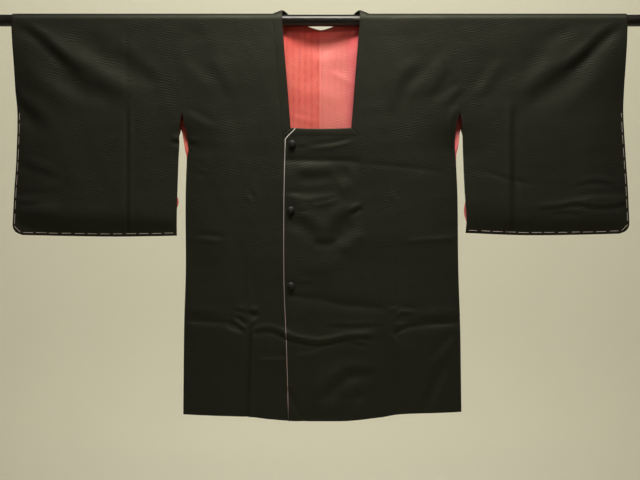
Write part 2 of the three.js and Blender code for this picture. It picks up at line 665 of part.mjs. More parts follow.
/** Lining of a sleeve's back half, which shows in the cuff and along the open inner edge. */
function sleeveLining(sign) {
  const side = sideName(sign);
  const heights = sleeveHeights(sign, SLEEVE_BACK_ROWS).slice(0, -CORNER_ROWS.length + 1);
  const last = SLEEVE_COLUMNS.length - 1;
  const panel = heights.map((z) => sleeveRow(sign, z, clothAt(z)));
  return wall(moved(panel, inward(sign)).map((row, i) => {
    const z = heights[i];
    const width = sleeveEdge(side, z) - furiEdge(side, z);
    const peek = FURI_PEEK.past * Math.exp(-(((z - FURI_PEEK.z) / FURI_PEEK.reach) ** 2));
    const first = (FURI_PEEK.inset - peek) / (width * SLEEVE_COLUMNS[1]);
    return [alongRow(row, first), ...row.slice(1, last)];
  }), LINING);
}

/** A covered button: a low dome with a short upright rim and a flat back. */
function button() {
  const dome = steps(5).map((t) => {
    const angle = (t * Math.PI) / 2;
    const height = BUTTON_RIM + (BUTTON_HEIGHT - BUTTON_RIM) * Math.sin(angle);
    return new THREE.Vector2(BUTTON_RADIUS * Math.cos(angle), height);
  });
  dome[dome.length - 1].x = 0;
  const profile = [new THREE.Vector2(0, 0), new THREE.Vector2(BUTTON_RADIUS * 0.9, 0), ...dome];
  return new THREE.LatheGeometry(profile, BUTTON_SIDES);
}

/** Depth of the top panel's face at its proudest place under a button. */
function buttonSeat(place) {
  const faces = steps(12).flatMap((t) => [0.5, 1].map((share) => {
    const x = place.x + BUTTON_RADIUS * share * Math.cos(t * Math.PI * 2);
    const z = place.z + BUTTON_RADIUS * share * Math.sin(t * Math.PI * 2);
    return -frontPlace(x, z, topLayer).y;
  }));
  return Math.max(...faces) + SILK / 2 + SEAM_GAP + BUTTON_CLEAR;
}

// ---------------------------------------------------------------- materials
const SILK_FINISH = { color: 0x24211c, roughness: 0.62, metalness: 0 };
const LINING_FINISH = { color: 0xdf6a5e, roughness: 0.55, metalness: 0 };
const PIPING_FINISH = { color: 0xcfb8ae, roughness: 0.7, metalness: 0 };
const BUTTON_FINISH = { color: 0x1b1a17, roughness: 0.5, metalness: 0 };
const ROD_FINISH = { color: 0x101010, roughness: 0.22, metalness: 0.4 };

// ---------------------------------------------------------------- assembly
const coat = new THREE.Group();

function add(name, geometry, finish) {
  const mesh = new THREE.Mesh(geometry, new THREE.MeshStandardMaterial(finish));
  mesh.name = name;
  coat.add(mesh);
  return mesh;
}

const rod = add('rod', new THREE.CylinderGeometry(ROD_RADIUS, ROD_RADIUS, ROD_LENGTH, ROD_SIDES), ROD_FINISH);
rod.rotation.z = Math.PI / 2;

for (const sign of [1, -1]) {
  const side = sideName(sign);
  add(`body_${side}`, bodyPanel(sign), SILK_FINISH);
  add(`sleeve_${side}`, sleevePanel(sign), SILK_FINISH);
  add(`lining_back_${side}`, backLining(sign), LINING_FINISH);
  add(`lining_sleeve_${side}`, sleeveLining(sign), LINING_FINISH);
}
add('neckband', neckband(), SILK_FINISH);
const bandEnd = (level) => lineAt(PANEL_EDGE, level);
add('neckband_front_left', bandStretch(bandEnd, mitre, topLayer), SILK_FINISH);
const underEnd = () => NECK_CORNER.x - UNDER_EDGE;
add('neckband_front_right', bandStretch((level) => -mitre(level), underEnd, underLayer), SILK_FINISH);
add('overlap_left', topPanel(), SILK_FINISH);
add('overlap_right', underPanel(), SILK_FINISH);
add('edge_piping', piping(), PIPING_FINISH);
BUTTONS.forEach((place, i) => {
  const knob = add(`button_${i + 1}`, button(), BUTTON_FINISH);
  knob.rotation.x = Math.PI;
  knob.position.set(place.x, -buttonSeat(place), place.z);
});

export default coat;
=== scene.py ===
"""The looks of a michiyuki coat that hangs on a round rod run through both of its sleeves.

The cloth is worked out in millimetres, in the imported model's own frame: the origin is on the
rod's axis at the middle of the neck, X runs along the rod, Z is up and the fronts face -Y.
Left and right are the wearer's, so the left side is at +X. A place on the cloth is given by
x and q, the length of cloth from the shoulder line, negative down the front.
"""

import math
from collections import namedtuple
from functools import partial

import bpy
import numpy as np
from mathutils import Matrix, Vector


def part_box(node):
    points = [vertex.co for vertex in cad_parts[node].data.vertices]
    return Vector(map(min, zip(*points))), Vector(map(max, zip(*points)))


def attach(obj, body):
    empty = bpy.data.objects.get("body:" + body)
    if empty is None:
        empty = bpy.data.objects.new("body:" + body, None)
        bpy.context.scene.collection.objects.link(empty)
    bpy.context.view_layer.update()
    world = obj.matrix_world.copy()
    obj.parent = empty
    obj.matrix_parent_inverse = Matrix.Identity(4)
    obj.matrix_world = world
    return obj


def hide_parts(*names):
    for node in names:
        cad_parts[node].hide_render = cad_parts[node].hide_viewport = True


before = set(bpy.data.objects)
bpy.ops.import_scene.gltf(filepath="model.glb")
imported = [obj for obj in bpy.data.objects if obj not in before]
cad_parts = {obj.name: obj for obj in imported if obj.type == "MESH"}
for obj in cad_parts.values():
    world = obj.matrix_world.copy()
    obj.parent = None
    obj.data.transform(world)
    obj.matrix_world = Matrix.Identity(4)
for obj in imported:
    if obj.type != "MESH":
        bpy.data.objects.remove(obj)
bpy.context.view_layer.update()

MM = 0.001
SIDES = {1: "left", -1: "right"}  # by the sign of x

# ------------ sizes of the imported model
BEND = 13.8  # middle of the cloth over the rod, from the rod's axis
DEPTH = {"front": 13.8, "back": 15.1}  # middle of each wall, from the coat's mid-plane
OVER_ROD = BEND * math.pi / 2  # cloth from the shoulder line to the rod's side
PINCH = 0.9  # middle of a wall from the mid-plane where front and back are sewn
LAYER = 2.0  # step from one layer of the overlap to the next

ARMHOLE_X = 293  # seam between body and sleeve
ARMHOLE_Z = -196  # its lower end
SLIT_Z = -284  # lower end of the slit under the arm
CUFF_Z = -187  # lower end of the cuff
CUFF_CLOSING_Z = -30  # the cuff's faces start to close in below this height
CUFF_X = 648  # about where the cuffs' edges lie
SLEEVE_CORNER = 20  # radius of the sleeve's lower outer corner
SLEEVE_CORNER_Z = -400  # the sleeve's width is read here for that corner
SLEEVE_LOW_ROWS = -380  # rows below this height turn towards the bottom's line
LAST_ROW = 0.25  # height of the lowest row over the bottom
LENS = 95  # width over which the walls close up to a seam
BOTTOM_LENS = 64  # the same at a sleeve's bottom
FURI_DEPTH = 0.5  # share of the depth that is left at a sleeve's open inner edge
FURI_CLOSING = 100  # height over which that edge narrows, below the armhole

NECK_SHOULDER_X = 82  # inner edge of the neckband on the shoulder line
NECK_CORNER_X, NECK_CORNER_Z = 64, -229  # the same at its lower corner
SEAM_SHOULDER_X = 102  # outer seam of the neckband on the shoulder line
SEAM_CORNER_X, SEAM_CORNER_Z = 82, -246  # the same at its lower corner
SEAM_HEM_X = 71  # seam between body and overlap panel at the hem
NECK_SAG = 2  # sag of the lower side of the neck
NECK_BACK, NECK_BACK_POWER = 39.4, 1.45  # cloth down to the back neck edge, and its roundness
NECK_BACK_SEAM, NECK_BACK_SEAM_POWER = 59.4, 1.8  # the same for the neckband's back seam
NECK_PEAK, NECK_PEAK_WIDTH = 8, 9  # how far the neckband stands up at the shoulder

OVERLAP_RAMP = (-20, -58)  # where the overlap panels change layer
UNDER_EDGE = 4  # free edge of the under panel, back from the opposite seam
PIPING_WIDTH, PIPING_THICKNESS = 1.6, 1.7
PIPING_RISE = 0.3  # middle of the piping over the middle of the panel
LINING_TOP = 7  # lining's top edge below the level of the rod's axis
LINING_NECK = 1.2  # lining back from the neck edge
LINING_HEM = 26  # lining up from the hem
LINING_SIDE = 6  # lining back from the side seam
LINING_SLIT = 1.0  # the same in the slit under the arm
SLIT_TOP, SLIT_BOTTOM = (-176, -200), (-294, -268)  # where it changes from one to the other
LINING_SLEEVE = {"armhole": 0.6, "cuff": 11, "bottom": 12}  # sleeve lining back from these
FURI_PEEK = {"left": (-407, 26, 8.6), "right": (-385, 15, 7.2)}  # height, reach and distance past
FURI_INSET = 1.4  # sleeve lining back from the inner edge where it doesn't peek past
FURI_BACK = 4  # the back of a sleeve's open edge lies this much further out
FURI_BACK_TOP = (-230, -252)  # it moves out over this height

HEM_LEVEL = 832  # length of the body's rows, stretched to the hem's own line
HEM_STRETCH = 300  # the stretch starts at this level
BACK_HEM_RISE = 3  # the back hem is this much shorter

# ------------ sizes of the cloth
SPACING = 4.0  # between the points of the main panels
LINING_SPACING = 5.0
CORNER_SPACING = 1.6  # between the piping's rows round its corner
COLUMNS = {"body": 72, "sleeve": 86, "back lining": 60, "sleeve lining": 64, "panel": 40}
ROD_ROWS = 9  # over the rod's front quarter
NECK_ROWS = 34  # along the body's edge at the back neck
CORNER_ROWS = 11  # round a sleeve's lower corner
BAND_COLUMNS, BAND_SIDE_ROWS, BAND_BACK_ROWS = 9, 56, 97
SHARP_ANGLE = 62  # an edge with a sharper turn is shaded as an edge
SILK = 1.4  # thickness, with the lining that is sewn to it
LINING = 0.8
LINING_DROP = 1.5  # middle of a lining inside the middle of the silk
BACK_LINING_DROP = 2.1
EDGE_ROUND = 0.7  # share of the thickness over which an edge turns in
RIM_MOST = 0.4  # but over no more than this share of the outer row of faces
EDGE_THIN = 0.35  # share of the thickness that is left at a free edge
SEAM_THIN = 1.0  # the same at a seam
SEAM_SINK = 0.04  # depth of the ditch along a seam
SEAM_WIDTH = 2.6
BAND_PUFF, PUFF_POWER = 0.5, 0.7  # rise of the neckband between its edges, and its roundness
FACING = 30  # width of the silk turned in along the hem and the edges
END_REACH = 0.3  # a strand's end stands out by this share of its height
END_SIZES = (0.45, 0.85)  # size of its last two rings

# ------------ outlines: (place, size) rows
SLEEVE_EDGE = {
    "left": ((16, 647.5), (-12, 647.2), (-86, 644.5), (-149, 642.4), (-200, 641.4), (-297, 647),
             (-360, 651.2), (-460, 655.4)),
    "right": ((16, 653), (-12, 653.5), (-86, 649.8), (-149, 647.5), (-200, 643.8), (-297, 646.2),
              (-360, 650.4), (-460, 655.4)),
}
FURI_EDGE = {
    "left": ((-196, 293.2), (-212, 297), (-228, 298.3), (-281, 300.4), (-360, 303.6), (-423, 308),
             (-460, 306)),
    "right": ((-196, 293.2), (-212, 297), (-229, 298.7), (-264, 299.4), (-296, 301.2), (-360, 303.5),
              (-423, 305.2), (-460, 305.8)),
}
SLEEVE_BOTTOM = {
    "left": ((300, -449), (430, -454), (545, -453), (655, -450)),
    "right": ((300, -455), (430, -457), (545, -455.5), (655, -453)),
}
SIDE_BELOW = {
    "left": ((-381, 289.6), (-529, 291.3), (-650, 295.2), (-840, 297.8)),
    "right": ((-381, 287), (-529, 286.6), (-650, 290), (-840, 292)),
}
SIDE_EDGE = {
    ("front", "left"): ((-196, 292.8), (-220, 286.6), (-248, 283.8), (-268, 283.5), (-290, 285.6),
                        (-324, 287.4), *SIDE_BELOW["left"]),
    ("front", "right"): ((-196, 292.8), (-223, 288), (-239, 283), (-260, 281.6), (-275, 280.8),
                         (-292, 284), *SIDE_BELOW["right"]),
    ("back", "left"): ((-196, 292.8), (-211, 297.6), (-228, 298.6), (-238, 295.4), (-252, 293.8),
                       (-266, 291.8), (-290, 287), *SIDE_BELOW["left"]),
    ("back", "right"): ((-196, 292.8), (-211, 297.6), (-229, 298.8), (-237, 295.4), (-260, 291),
                        (-275, 288.2), (-292, 285), *SIDE_BELOW["right"]),
}
HEM = ((-290, -835.6), (-154, -838.8), (-110, -843.6), (-60, -847.4), (0, -848.4), (60, -847.4),
       (124, -840.4), (169, -833.4), (296, -830.2))
FREE_EDGE = ((-230.6, -55), (-246.6, -71), (-253, -76), (-297, -77.4), (-381, -79), (-466, -79.4),
             (-550, -79), (-605, -77), (-666, -74), (-745, -71.5), (-846.6, -69))  # (z, x)

# ------------ folds
# A fold is soft, a rounded trough (height below 0) or ridge, or pressed, with a sharp line in the
# middle, or a step, with a ridge on the left of its path and a trough on the right. Its row gives
# its path's (x, z) points, width and height. It runs out at both ends, over its fade's share of
# its length.
Fold = namedtuple("Fold", "kind path width height fade", defaults=(0.34,))
soft, pressed, step = (partial(Fold, kind) for kind in ("soft", "pressed", "step"))

FRONT_FOLDS = [
    # sleeve at -X: folds from the rod's end down to the armhole
    step([(-664, 22), (-618, -14), (-572, -56), (-509, -115)], 10, 2.6),
    step([(-600, -30), (-509, -115), (-466, -141), (-404, -169)], 20, 2.3),
    step([(-551, -27), (-500, -71), (-466, -92), (-420, -122), (-369, -160)], 21, -1.7),
    step([(-433, -56), (-403, -80), (-357, -118), (-327, -134)], 13, 0.8),
    step([(-627, -69), (-572, -128), (-530, -153), (-492, -187)], 18, -1.2),
    step([(-720, -140), (-656, -168), (-612, -196), (-570, -232)], 15, 2.7),
    step([(-650, -292), (-593, -318), (-546, -331)], 9, 0.8),
    step([(-406, -168), (-406, -297), (-407, -500)], 4, 1.1, 0.2),
    pressed([(-409, -176), (-409, -297), (-410, -500)], 3, -1.2, 0.2),
    pressed([(-411, 10), (-411, -90), (-409, -186)], 3.5, -0.6),
    step([(-664, -360), (-600, -362), (-540, -358)], 7, 0.6),
    step([(-664, -380), (-620, -388), (-590, -382)], 6, 1.2),
    step([(-700, -400), (-616, -412), (-540, -424)], 14, 1.6),
    step([(-700, -424), (-600, -434), (-500, -440), (-400, -436)], 20, 2.6, 0.25),
    step([(-440, -441), (-372, -437), (-300, -441)], 15, 1.5, 0.25),
    # sleeve at +X
    step([(407, -181), (462, -145), (494, -120), (546, -82), (580, -52)], 18, 2.4),
    step([(494, -120), (546, -82), (620, -8), (664, 30)], 10, 2.6),
    step([(428, -137), (466, -86), (504, -44), (589, 20)], 19, -1.3),
    step([(483, -187), (536, -149), (572, -107), (610, -50), (640, -24)], 18, -1.3),
    step([(331, -174), (357, -141), (388, -90)], 12, 0.7),
    step([(314, -166), (344, -128), (378, -77)], 11, -0.7),
    step([(404, -166), (404, -297), (405, -500)], 7, -2.6, 0.15),
    pressed([(401, -172), (401, -297), (402, -500)], 5, -1.4, 0.15),
    pressed([(411, 10), (411, -60), (410, -130)], 3.5, -0.6),
    pressed([(330, -318), (368, -328), (400, -339), (462, -350)], 4, -1.3),
    step([(534, -350), (580, -341), (627, -350)], 5, 1.0),
    step([(540, -376), (589, -373), (664, -371)], 6, -0.8, 0.2),
    step([(450, -400), (500, -396), (540, -390), (590, -396), (668, -386)], 5, 1.5, 0.2),
    step([(470, -410), (520, -406), (560, -410)], 5, 0.9),
    step([(310, -436), (420, -440), (540, -440), (700, -430)], 15, 1.0, 0.15),
    pressed([(322, -388), (324, -446)], 5, -0.9),
    # chest at -X, drawn up from the armhole
    step([(-249, -77), (-219, -113), (-188, -164)], 13, 0.6),
    step([(-290, -80), (-226, -141)], 12, -0.5),
    step([(-290, -191), (-266, -202), (-220, -226)], 8, -0.6),
    step([(-320, -255), (-290, -257), (-258, -260)], 5, 2.0),
    step([(-272, -320), (-236, -326)], 4, 0.4),
    # chest at +X
    step([(163, -206), (171, -137), (217, -78)], 13, 0.9),
    step([(173, -200), (188, -149), (224, -113), (270, -60)], 12, -0.9),
    step([(226, -168), (248, -136), (270, -102)], 9, 0.9),
    step([(243, -178), (262, -158), (297, -134)], 8, -0.7),
    step([(264, -188), (297, -149)], 7, 0.7),
    step([(294, -184), (279, -219), (281, -276)], 7, -1.3),
    # pressed storage creases down both fronts, with a small star where they begin
    pressed([(-152, -520), (-152, -612)], 4, 0.6),
    step([(-146, -655), (-150, -740), (-155, -880)], 4, 2.3, 0.1),
    pressed([(-150, -664), (-152, -740), (-157, -880)], 3, -1.2, 0.1),
    step([(-158, -371), (-140, -378)], 4, -0.6),
    step([(-150, -384), (-146, -366)], 4, 0.5),
    pressed([(161, -415), (161, -608)], 4, 0.5),
    step([(160, -684), (160, -880)], 6, 0.8, 0.15),
    step([(146, -370), (166, -376)], 4, -0.5),
    step([(152, -382), (160, -364)], 4, 0.4),
    pressed([(156, -340), (156, -370)], 4, -0.5),
    # pucker at -X, where the creases cross
    step([(-180, -611), (-158, -617)], 4, 1.2),
    step([(-154, -612), (-143, -618), (-130, -617)], 5, 1.9),
    step([(-188, -628), (-170, -640), (-152, -654)], 4, -1.3),
    step([(-178, -622), (-156, -642)], 3.5, 0.9),
    step([(-152, -635), (-132, -630)], 4, -1.1),
    step([(-202, -648), (-166, -664)], 4, -1.1),
    pressed([(-149, -626), (-150, -668)], 4, -1.2),
    step([(-160, -656), (-140, -640)], 3.5, 0.9),
    # pucker at +X
    step([(142, -610), (160, -606)], 3.5, -0.9),
    step([(163, -608), (204, -616)], 3.5, -0.7),
    step([(160, -630), (172, -622), (188, -626)], 3.5, 1.2),
    step([(156, -641), (182, -640)], 3.5, -1.0),
    step([(148, -660), (165, -683)], 4, -1.1),
    # level creases, from -X to +X
    pressed([(-310, -635), (-255, -638), (-217, -640), (-184, -644), (-158, -664)], 4.5, -2.6, 0.12),
    step([(-290, -622), (-250, -622), (-210, -626)], 8, 0.8),
    step([(-146, -662), (-124, -655), (-104, -656), (-88, -661), (-62, -670)], 5, 1.9, 0.12),
    pressed([(-92, -663), (-34, -674), (0, -677), (34, -671), (61, -667), (122, -666)], 7, 2.4, 0.12),
    step([(-90, -666), (-34, -680), (0, -683), (34, -677), (61, -671), (114, -669)], 5, 1.5, 0.12),
    step([(56, -679), (100, -687)], 4, 1.0),
    step([(4, -645), (72, -647), (134, -644)], 4, 0.9),
    step([(-60, -707), (4, -701)], 5, -0.7),
    pressed([(152, -667), (175, -653), (203, -647), (247, -643), (310, -641)], 4.5, -3.1, 0.1),
    step([(196, -633), (240, -630), (306, -628)], 9, 1.2),
    pressed([(-84, -582), (-2, -591), (34, -601), (93, -607), (146, -612)], 10, -2.5, 0.15),
    pressed([(176, -468), (230, -465), (286, -461)], 5, 2.4, 0.2),
    step([(-272, -459), (-240, -461), (-200, -464)], 5, -1.0),
    step([(-124, -715), (-72, -714)], 4, -0.8, 0.15),
    # overlap: drawn across under the buttons, with a swag between the first two
    step([(-30, -270), (25, -264), (60, -256), (76, -250)], 4, -1.0),
    pressed([(-84, -297), (-2, -298), (51, -299), (88, -303)], 10, -3.3, 0.1),
    pressed([(74, -302), (156, -310), (209, -316), (272, -323)], 4, -1.2),
    step([(-56, -327), (-10, -326), (32, -323)], 11, 1.9),
    step([(34, -346), (50, -341), (66, -335)], 15, -1.8),
    step([(-76, -372), (-20, -374), (40, -368)], 9, -1.4),
    step([(-24, -390), (8, -386), (36, -378)], 4, -1.0),
    step([(-76, -368), (-44, -371)], 4, -0.8),
    step([(-62, -404), (-30, -430), (-6, -451), (12, -468)], 14, 1.8),
    step([(-2, -470), (21, -449), (40, -421), (63, -409), (84, -396)], 14, 1.8),
    step([(58, -410), (72, -402), (88, -394)], 5, 1.7),
    step([(-18, -466), (8, -468), (36, -465)], 8, 1.6, 0.25),
    step([(30, -483), (58, -462), (80, -436)], 14, -2.2),
    step([(-84, -436), (-50, -446), (-30, -452)], 13, -0.7),
    step([(-56, -504), (0, -510), (60, -500)], 14, -0.7),
    # pulls at the buttons
    step([(-52, -554), (-16, -557)], 3.5, 0.9),
    step([(-52, -563), (-28, -563)], 3.5, 0.7),
    step([(-52, -399), (-26, -402)], 4, 0.8),
    step([(-52, -268), (-30, -266)], 3.5, 0.7),
    # soft diagonals in the lower fronts
    step([(234, -733), (256, -700), (284, -660)], 9, -1.1),
    step([(213, -822), (234, -761), (259, -694)], 11, 1.1),
    step([(224, -842), (245, -784), (272, -724)], 10, -1.0),
    step([(42, -739), (80, -742), (122, -743)], 9, 1.5),
    step([(-14, -812), (19, -774), (44, -753), (64, -738)], 12, 2.4),
    step([(48, -766), (86, -763)], 9, -0.8),
    step([(42, -791), (102, -788)], 9, 1.2),
    step([(64, -852), (78, -812), (98, -778)], 11, -1.2),
    pressed([(-74, -776), (-55, -816), (-30, -856)], 6, -3.6, 0.1),
    step([(-30, -822), (15, -827), (56, -820)], 13, 1.3),
]
BACK_FOLDS = [
    pressed([(-147, -330), (-147, -480), (-146, -640)], 6, -1.4),
    pressed([(-146, -650), (-147, -740), (-148, -860)], 8, -2.5),
    pressed([(162, -330), (162, -480), (163, -640)], 6, -1.2),
    pressed([(163, -656), (164, -740), (165, -860)], 8, -2.2),
    step([(300, -640), (232, -650), (160, -654), (96, -662), (20, -660)], 7, -2.4),
    step([(12, -662), (-60, -668), (-140, -660), (-214, -656), (-300, -648)], 7, -2.2),
    pressed([(176, -628), (160, -648), (150, -674)], 5, -1.8),
    pressed([(-136, -636), (-150, -654), (-160, -682)], 5, -1.7),
    step([(-286, -470), (-220, -466), (-160, -472)], 5, 1.2),
    step([(276, -458), (214, -464), (150, -460)], 5, 1.0),
    soft([(-70, -456), (-20, -498), (24, -500), (88, -452)], 18, -2.0),
    soft([(-60, -120), (-20, -152), (30, -150), (70, -112)], 22, -1.4),
    soft([(-44, -30), (0, -52), (46, -30)], 26, 4.5, 0.5),
    soft([(-276, -70), (-226, -116), (-186, -160)], 17, -2.2),
    soft([(-250, -118), (-206, -160), (-184, -206)], 14, 1.4),
    soft([(280, -72), (230, -124), (192, -176)], 17, -2.1),
    soft([(258, -128), (216, -172), (196, -218)], 14, 1.5),
    soft([(-288, -206), (-256, -222), (-232, -250)], 10, 1.8),
    soft([(288, -204), (252, -216), (226, -240)], 10, 1.9),
    soft([(-660, 8), (-570, -80), (-500, -130), (-420, -172)], 18, -4.6),
    soft([(-600, -20), (-520, -84), (-440, -132)], 24, 2.0),
    soft([(656, 8), (570, -76), (500, -126), (430, -170)], 18, -4.4),
    soft([(600, -16), (520, -82), (450, -124)], 22, 2.0),
    soft([(-640, -130), (-590, -170), (-540, -204)], 22, -2.0),
    soft([(640, -118), (580, -164), (530, -200)], 20, -1.8),
    pressed([(-409, -170), (-409, -330), (-410, -470)], 7, -2.3),
    pressed([(405, -160), (405, -330), (406, -470)], 8, -2.2),
    step([(-640, -386), (-580, -394), (-520, -388)], 6, 1.3),
    step([(640, -366), (590, -354), (530, -362)], 6, 1.2),
    soft([(-280, -690), (-236, -740), (-214, -810)], 17, -1.7),
    soft([(286, -696), (240, -752), (216, -822)], 17, -1.8),
    soft([(-90, -690), (-30, -750), (-10, -820)], 20, -1.5),
    soft([(96, -684), (50, -740), (24, -812)], 18, 1.4),
    soft([(-230, -330), (-190, -400), (-210, -470)], 26, -1.2),
    soft([(230, -320), (200, -390), (216, -460)], 26, 1.2),
]
LINING_FOLDS = [
    soft([(-94, 30), (-90, -50), (-84, -190)], 26, -12.5, 0.5),
    soft([(94, 30), (90, -50), (84, -190)], 26, -12.5, 0.5),
    soft([(-60, -30), (-20, -76), (24, -78), (62, -34)], 12, -1.0),
    pressed([(14, -106), (40, -118), (78, -140)], 3.5, -1.6),
    step([(-66, -196), (-20, -208), (-4, -204)], 4, 0.8),
    pressed([(-3, -30), (-3, -150), (-3, -300)], 4, 1.2),
    soft([(-40, -60), (-44, -150), (-36, -250)], 12, -1.0),
    soft([(30, -150), (36, -200), (28, -260)], 12, -1.1),
]
LINING_FOLD_TOP = (-14, -34)  # the lining's own folds run out over this height
FOLD_EDGE = 12  # folds run out over this distance to a sewn edge
FOLD_TOP = (-3, -36)  # and over this height below the rod
FOLD_REACH = 4  # a fold ends at this many widths from its path
FADE_LEAD = 0.1  # share of a fade that lies before a path's end
UNEVEN = 0.22  # a fold's height changes by this share along its path
UNEVEN_LENGTHS = (23, 61)  # over these lengths, from another start for each fold
LINE_STEPS = 6  # stretches of a smooth curve between two points of a path
WAVE_SEED = 11
WAVE_COUNT = 14
WAVE_LENGTHS = (34, 260)  # of the shortest and the longest low wave
WAVE_SIZE, WAVE_POWER = 0.0021, 0.9  # a wave's height is this times a power of its length
WAVE_BEND, WAVE_BEND_Z = 0.6, 57  # their lines bend by this, over this height
WAVE_BACK = 800  # the back's waves are the front's, turned over and moved up by this


# ------------ small maths
def lerp(a, b, t):
    """From a where t is 0 to b where it is 1."""
    return a + (b - a) * t


def smooth(start, end, value):
    """0 before start and 1 after end, with a soft change between."""
    t = np.clip((value - start) / (end - start), 0, 1)
    return t * t * (3 - 2 * t)


def table_at(table, value):
    """The size at a place, on a smooth curve through a table's rows."""
    rows = np.array(sorted(table), float)
    key, out = rows[:, 0], rows[:, 1]
    last = len(rows) - 1
    before = np.maximum(np.arange(last + 1) - 1, 0)
    after = np.minimum(np.arange(last + 1) + 1, last)
    slope = (out[after] - out[before]) / (key[after] - key[before])
    v = np.clip(value, key[0], key[-1])
    i = np.clip(np.searchsorted(key, v, side="left") - 1, 0, last - 1)
    span = key[i + 1] - key[i]
    t = (v - key[i]) / span
    start = (1 + 2 * t) * (1 - t) ** 2 * out[i] + t * (1 - t) ** 2 * span * slope[i]
    return start + t * t * (3 - 2 * t) * out[i + 1] + t * t * (t - 1) * span * slope[i + 1]


def curve_through(path):
    """Points of a smooth curve through a path's points."""
    p = np.array(path, float)
    if len(p) < 3:
        return p
    ends = np.vstack([2 * p[0] - p[1], p, 2 * p[-1] - p[-2]])
    line = [p[0]]
    for i in range(len(p) - 1):
        a, b, c, d = ends[i:i + 4]
        for t in np.arange(1, LINE_STEPS + 1) / LINE_STEPS:
            line.append(0.5 * (2 * b + (c - a) * t + (2 * a - 5 * b + 4 * c - d) * t * t
                               + (3 * b - a - 3 * c + d) * t ** 3))
    return np.array(line)


def spaced(start, end, spacing=SPACING):
    """Values from start to end, about one spacing apart."""
    return np.linspace(start, end, max(2, int(round(abs(end - start) / spacing)) + 1))


# ------------ outlines as functions
def by_side(tables, x, value):
    """The size from the left table where x is above 0 and from the right one elsewhere."""
    return np.where(x > 0, table_at(tables["left"], value), table_at(tables["right"], value))


def side_edge(face, x, z):
    """Side edge of the body's front or back."""
    return by_side({side: SIDE_EDGE[face, side] for side in SIDES.values()}, x, z)


def row_height(level, x, rise=0.0):
    """Height of a row at x: its level below the rod, stretched towards the hem's line."""
    stretch = smooth(HEM_STRETCH, HEM_LEVEL, level)
    return -level * lerp(1, (table_at(HEM, x) + rise) / -HEM_LEVEL, stretch)


def front_seam(level):
    """Outer seam of the neckband, then the seam of the overlap panel, at a level of the front."""
    corner = -SEAM_CORNER_Z
    above = lerp(SEAM_SHOULDER_X, SEAM_CORNER_X, np.clip(level / corner, 0, 1))
    below = lerp(SEAM_CORNER_X, SEAM_HEM_X, (level - corner) / (HEM_LEVEL - corner))
    return np.where(level < corner, above, below)


def neck_edge(x):
    """Cloth length down to the back neck edge."""
    return NECK_BACK * (1 - np.clip(np.abs(x) / NECK_SHOULDER_X, 0, 1) ** NECK_BACK_POWER)


def neck_seam(x):
    """Cloth length down to the neckband's back seam."""
    return NECK_BACK_SEAM * (1 - np.clip(np.abs(x) / SEAM_SHOULDER_X, 0, 1) ** NECK_BACK_SEAM_POWER)


def back_seam(q):
    """Inner edge of the body's back at cloth length q: along the neckband, then the centre seam."""
    return SEAM_SHOULDER_X * np.clip(1 - q / NECK_BACK_SEAM, 0, 1) ** (1 / NECK_BACK_SEAM_POWER)


def cloth_at(z):
    """Cloth length from the shoulder line down to a height."""
    return OVER_ROD - z


# ------------ the draped surface
def fold_height(fold, order, x, z):
    """Height of one fold at each place, and 0 where the fold doesn't reach."""
    line = curve_through(fold.path)
    lengths = np.hypot(*np.diff(line, axis=0).T)
    starts = np.concatenate([[0], np.cumsum(lengths)])
    total = starts[-1]
    nearest = np.full(x.shape, np.inf)
    offset = np.zeros(x.shape)
    along = np.zeros(x.shape)
    for (ax, az), (bx, bz), length, start in zip(line[:-1], line[1:], lengths, starts):
        ux, uz = (bx - ax) / length, (bz - az) / length
        run = (x - ax) * ux + (z - az) * uz
        held = np.clip(run, 0, length)
        away = np.hypot(x - ax - ux * held, z - az - uz * held)
        closer = away < nearest
        nearest = np.where(closer, away, nearest)
        offset = np.where(closer, (z - az) * ux - (x - ax) * uz, offset)
        along = np.where(closer, start + held, along)
    if fold.kind == "soft":
        profile = np.exp(-((nearest / fold.width) ** 2))
    elif fold.kind == "pressed":
        profile = np.exp(-nearest / fold.width)
    else:
        profile = np.sign(offset) * nearest / fold.width * np.exp(0.5 - (nearest / fold.width) ** 2 / 2)
    fade = fold.fade * total
    lead = fade * FADE_LEAD
    ends = smooth(0, fade, along + lead) * smooth(0, fade, total - along + lead)
    fast, slow = along / UNEVEN_LENGTHS[0] + order * 1.7, along / UNEVEN_LENGTHS[1] + order
    uneven = 1 + UNEVEN * np.sin(fast) * np.sin(slow)
    return fold.height * profile * ends * uneven


def folds_height(folds, x, z):
    """Height of all these folds together."""
    height = np.zeros(x.shape)
    for order, fold in enumerate(folds):
        reach = fold.width * FOLD_REACH
        xs, zs = zip(*fold.path)
        near = ((x > min(xs) - reach) & (x < max(xs) + reach)
                & (z > min(zs) - reach) & (z < max(zs) + reach))
        if near.any():
            height[near] += fold_height(fold, order, x[near], z[near])
    return height


def make_waves():
    """Directions, lengths and phases of the low waves that keep the cloth from lying flat."""
    rng = np.random.default_rng(WAVE_SEED)
    lengths = np.geomspace(*WAVE_LENGTHS, WAVE_COUNT)
    angles = rng.uniform(0, math.pi, WAVE_COUNT)
    phases = rng.uniform(0, 2 * math.pi, WAVE_COUNT)
    return [(2 * math.pi / length * math.cos(angle), 2 * math.pi / length * math.sin(angle), phase,
             WAVE_SIZE * length ** WAVE_POWER)
            for length, angle, phase in zip(lengths, angles, phases)]


WAVES = make_waves()


def waves_height(x, z):
    """Height of all the low waves together."""
    return sum(size * np.sin(kx * x + kz * z + phase + WAVE_BEND * np.sin(z / WAVE_BEND_Z + phase))
               for kx, kz, phase, size in WAVES)


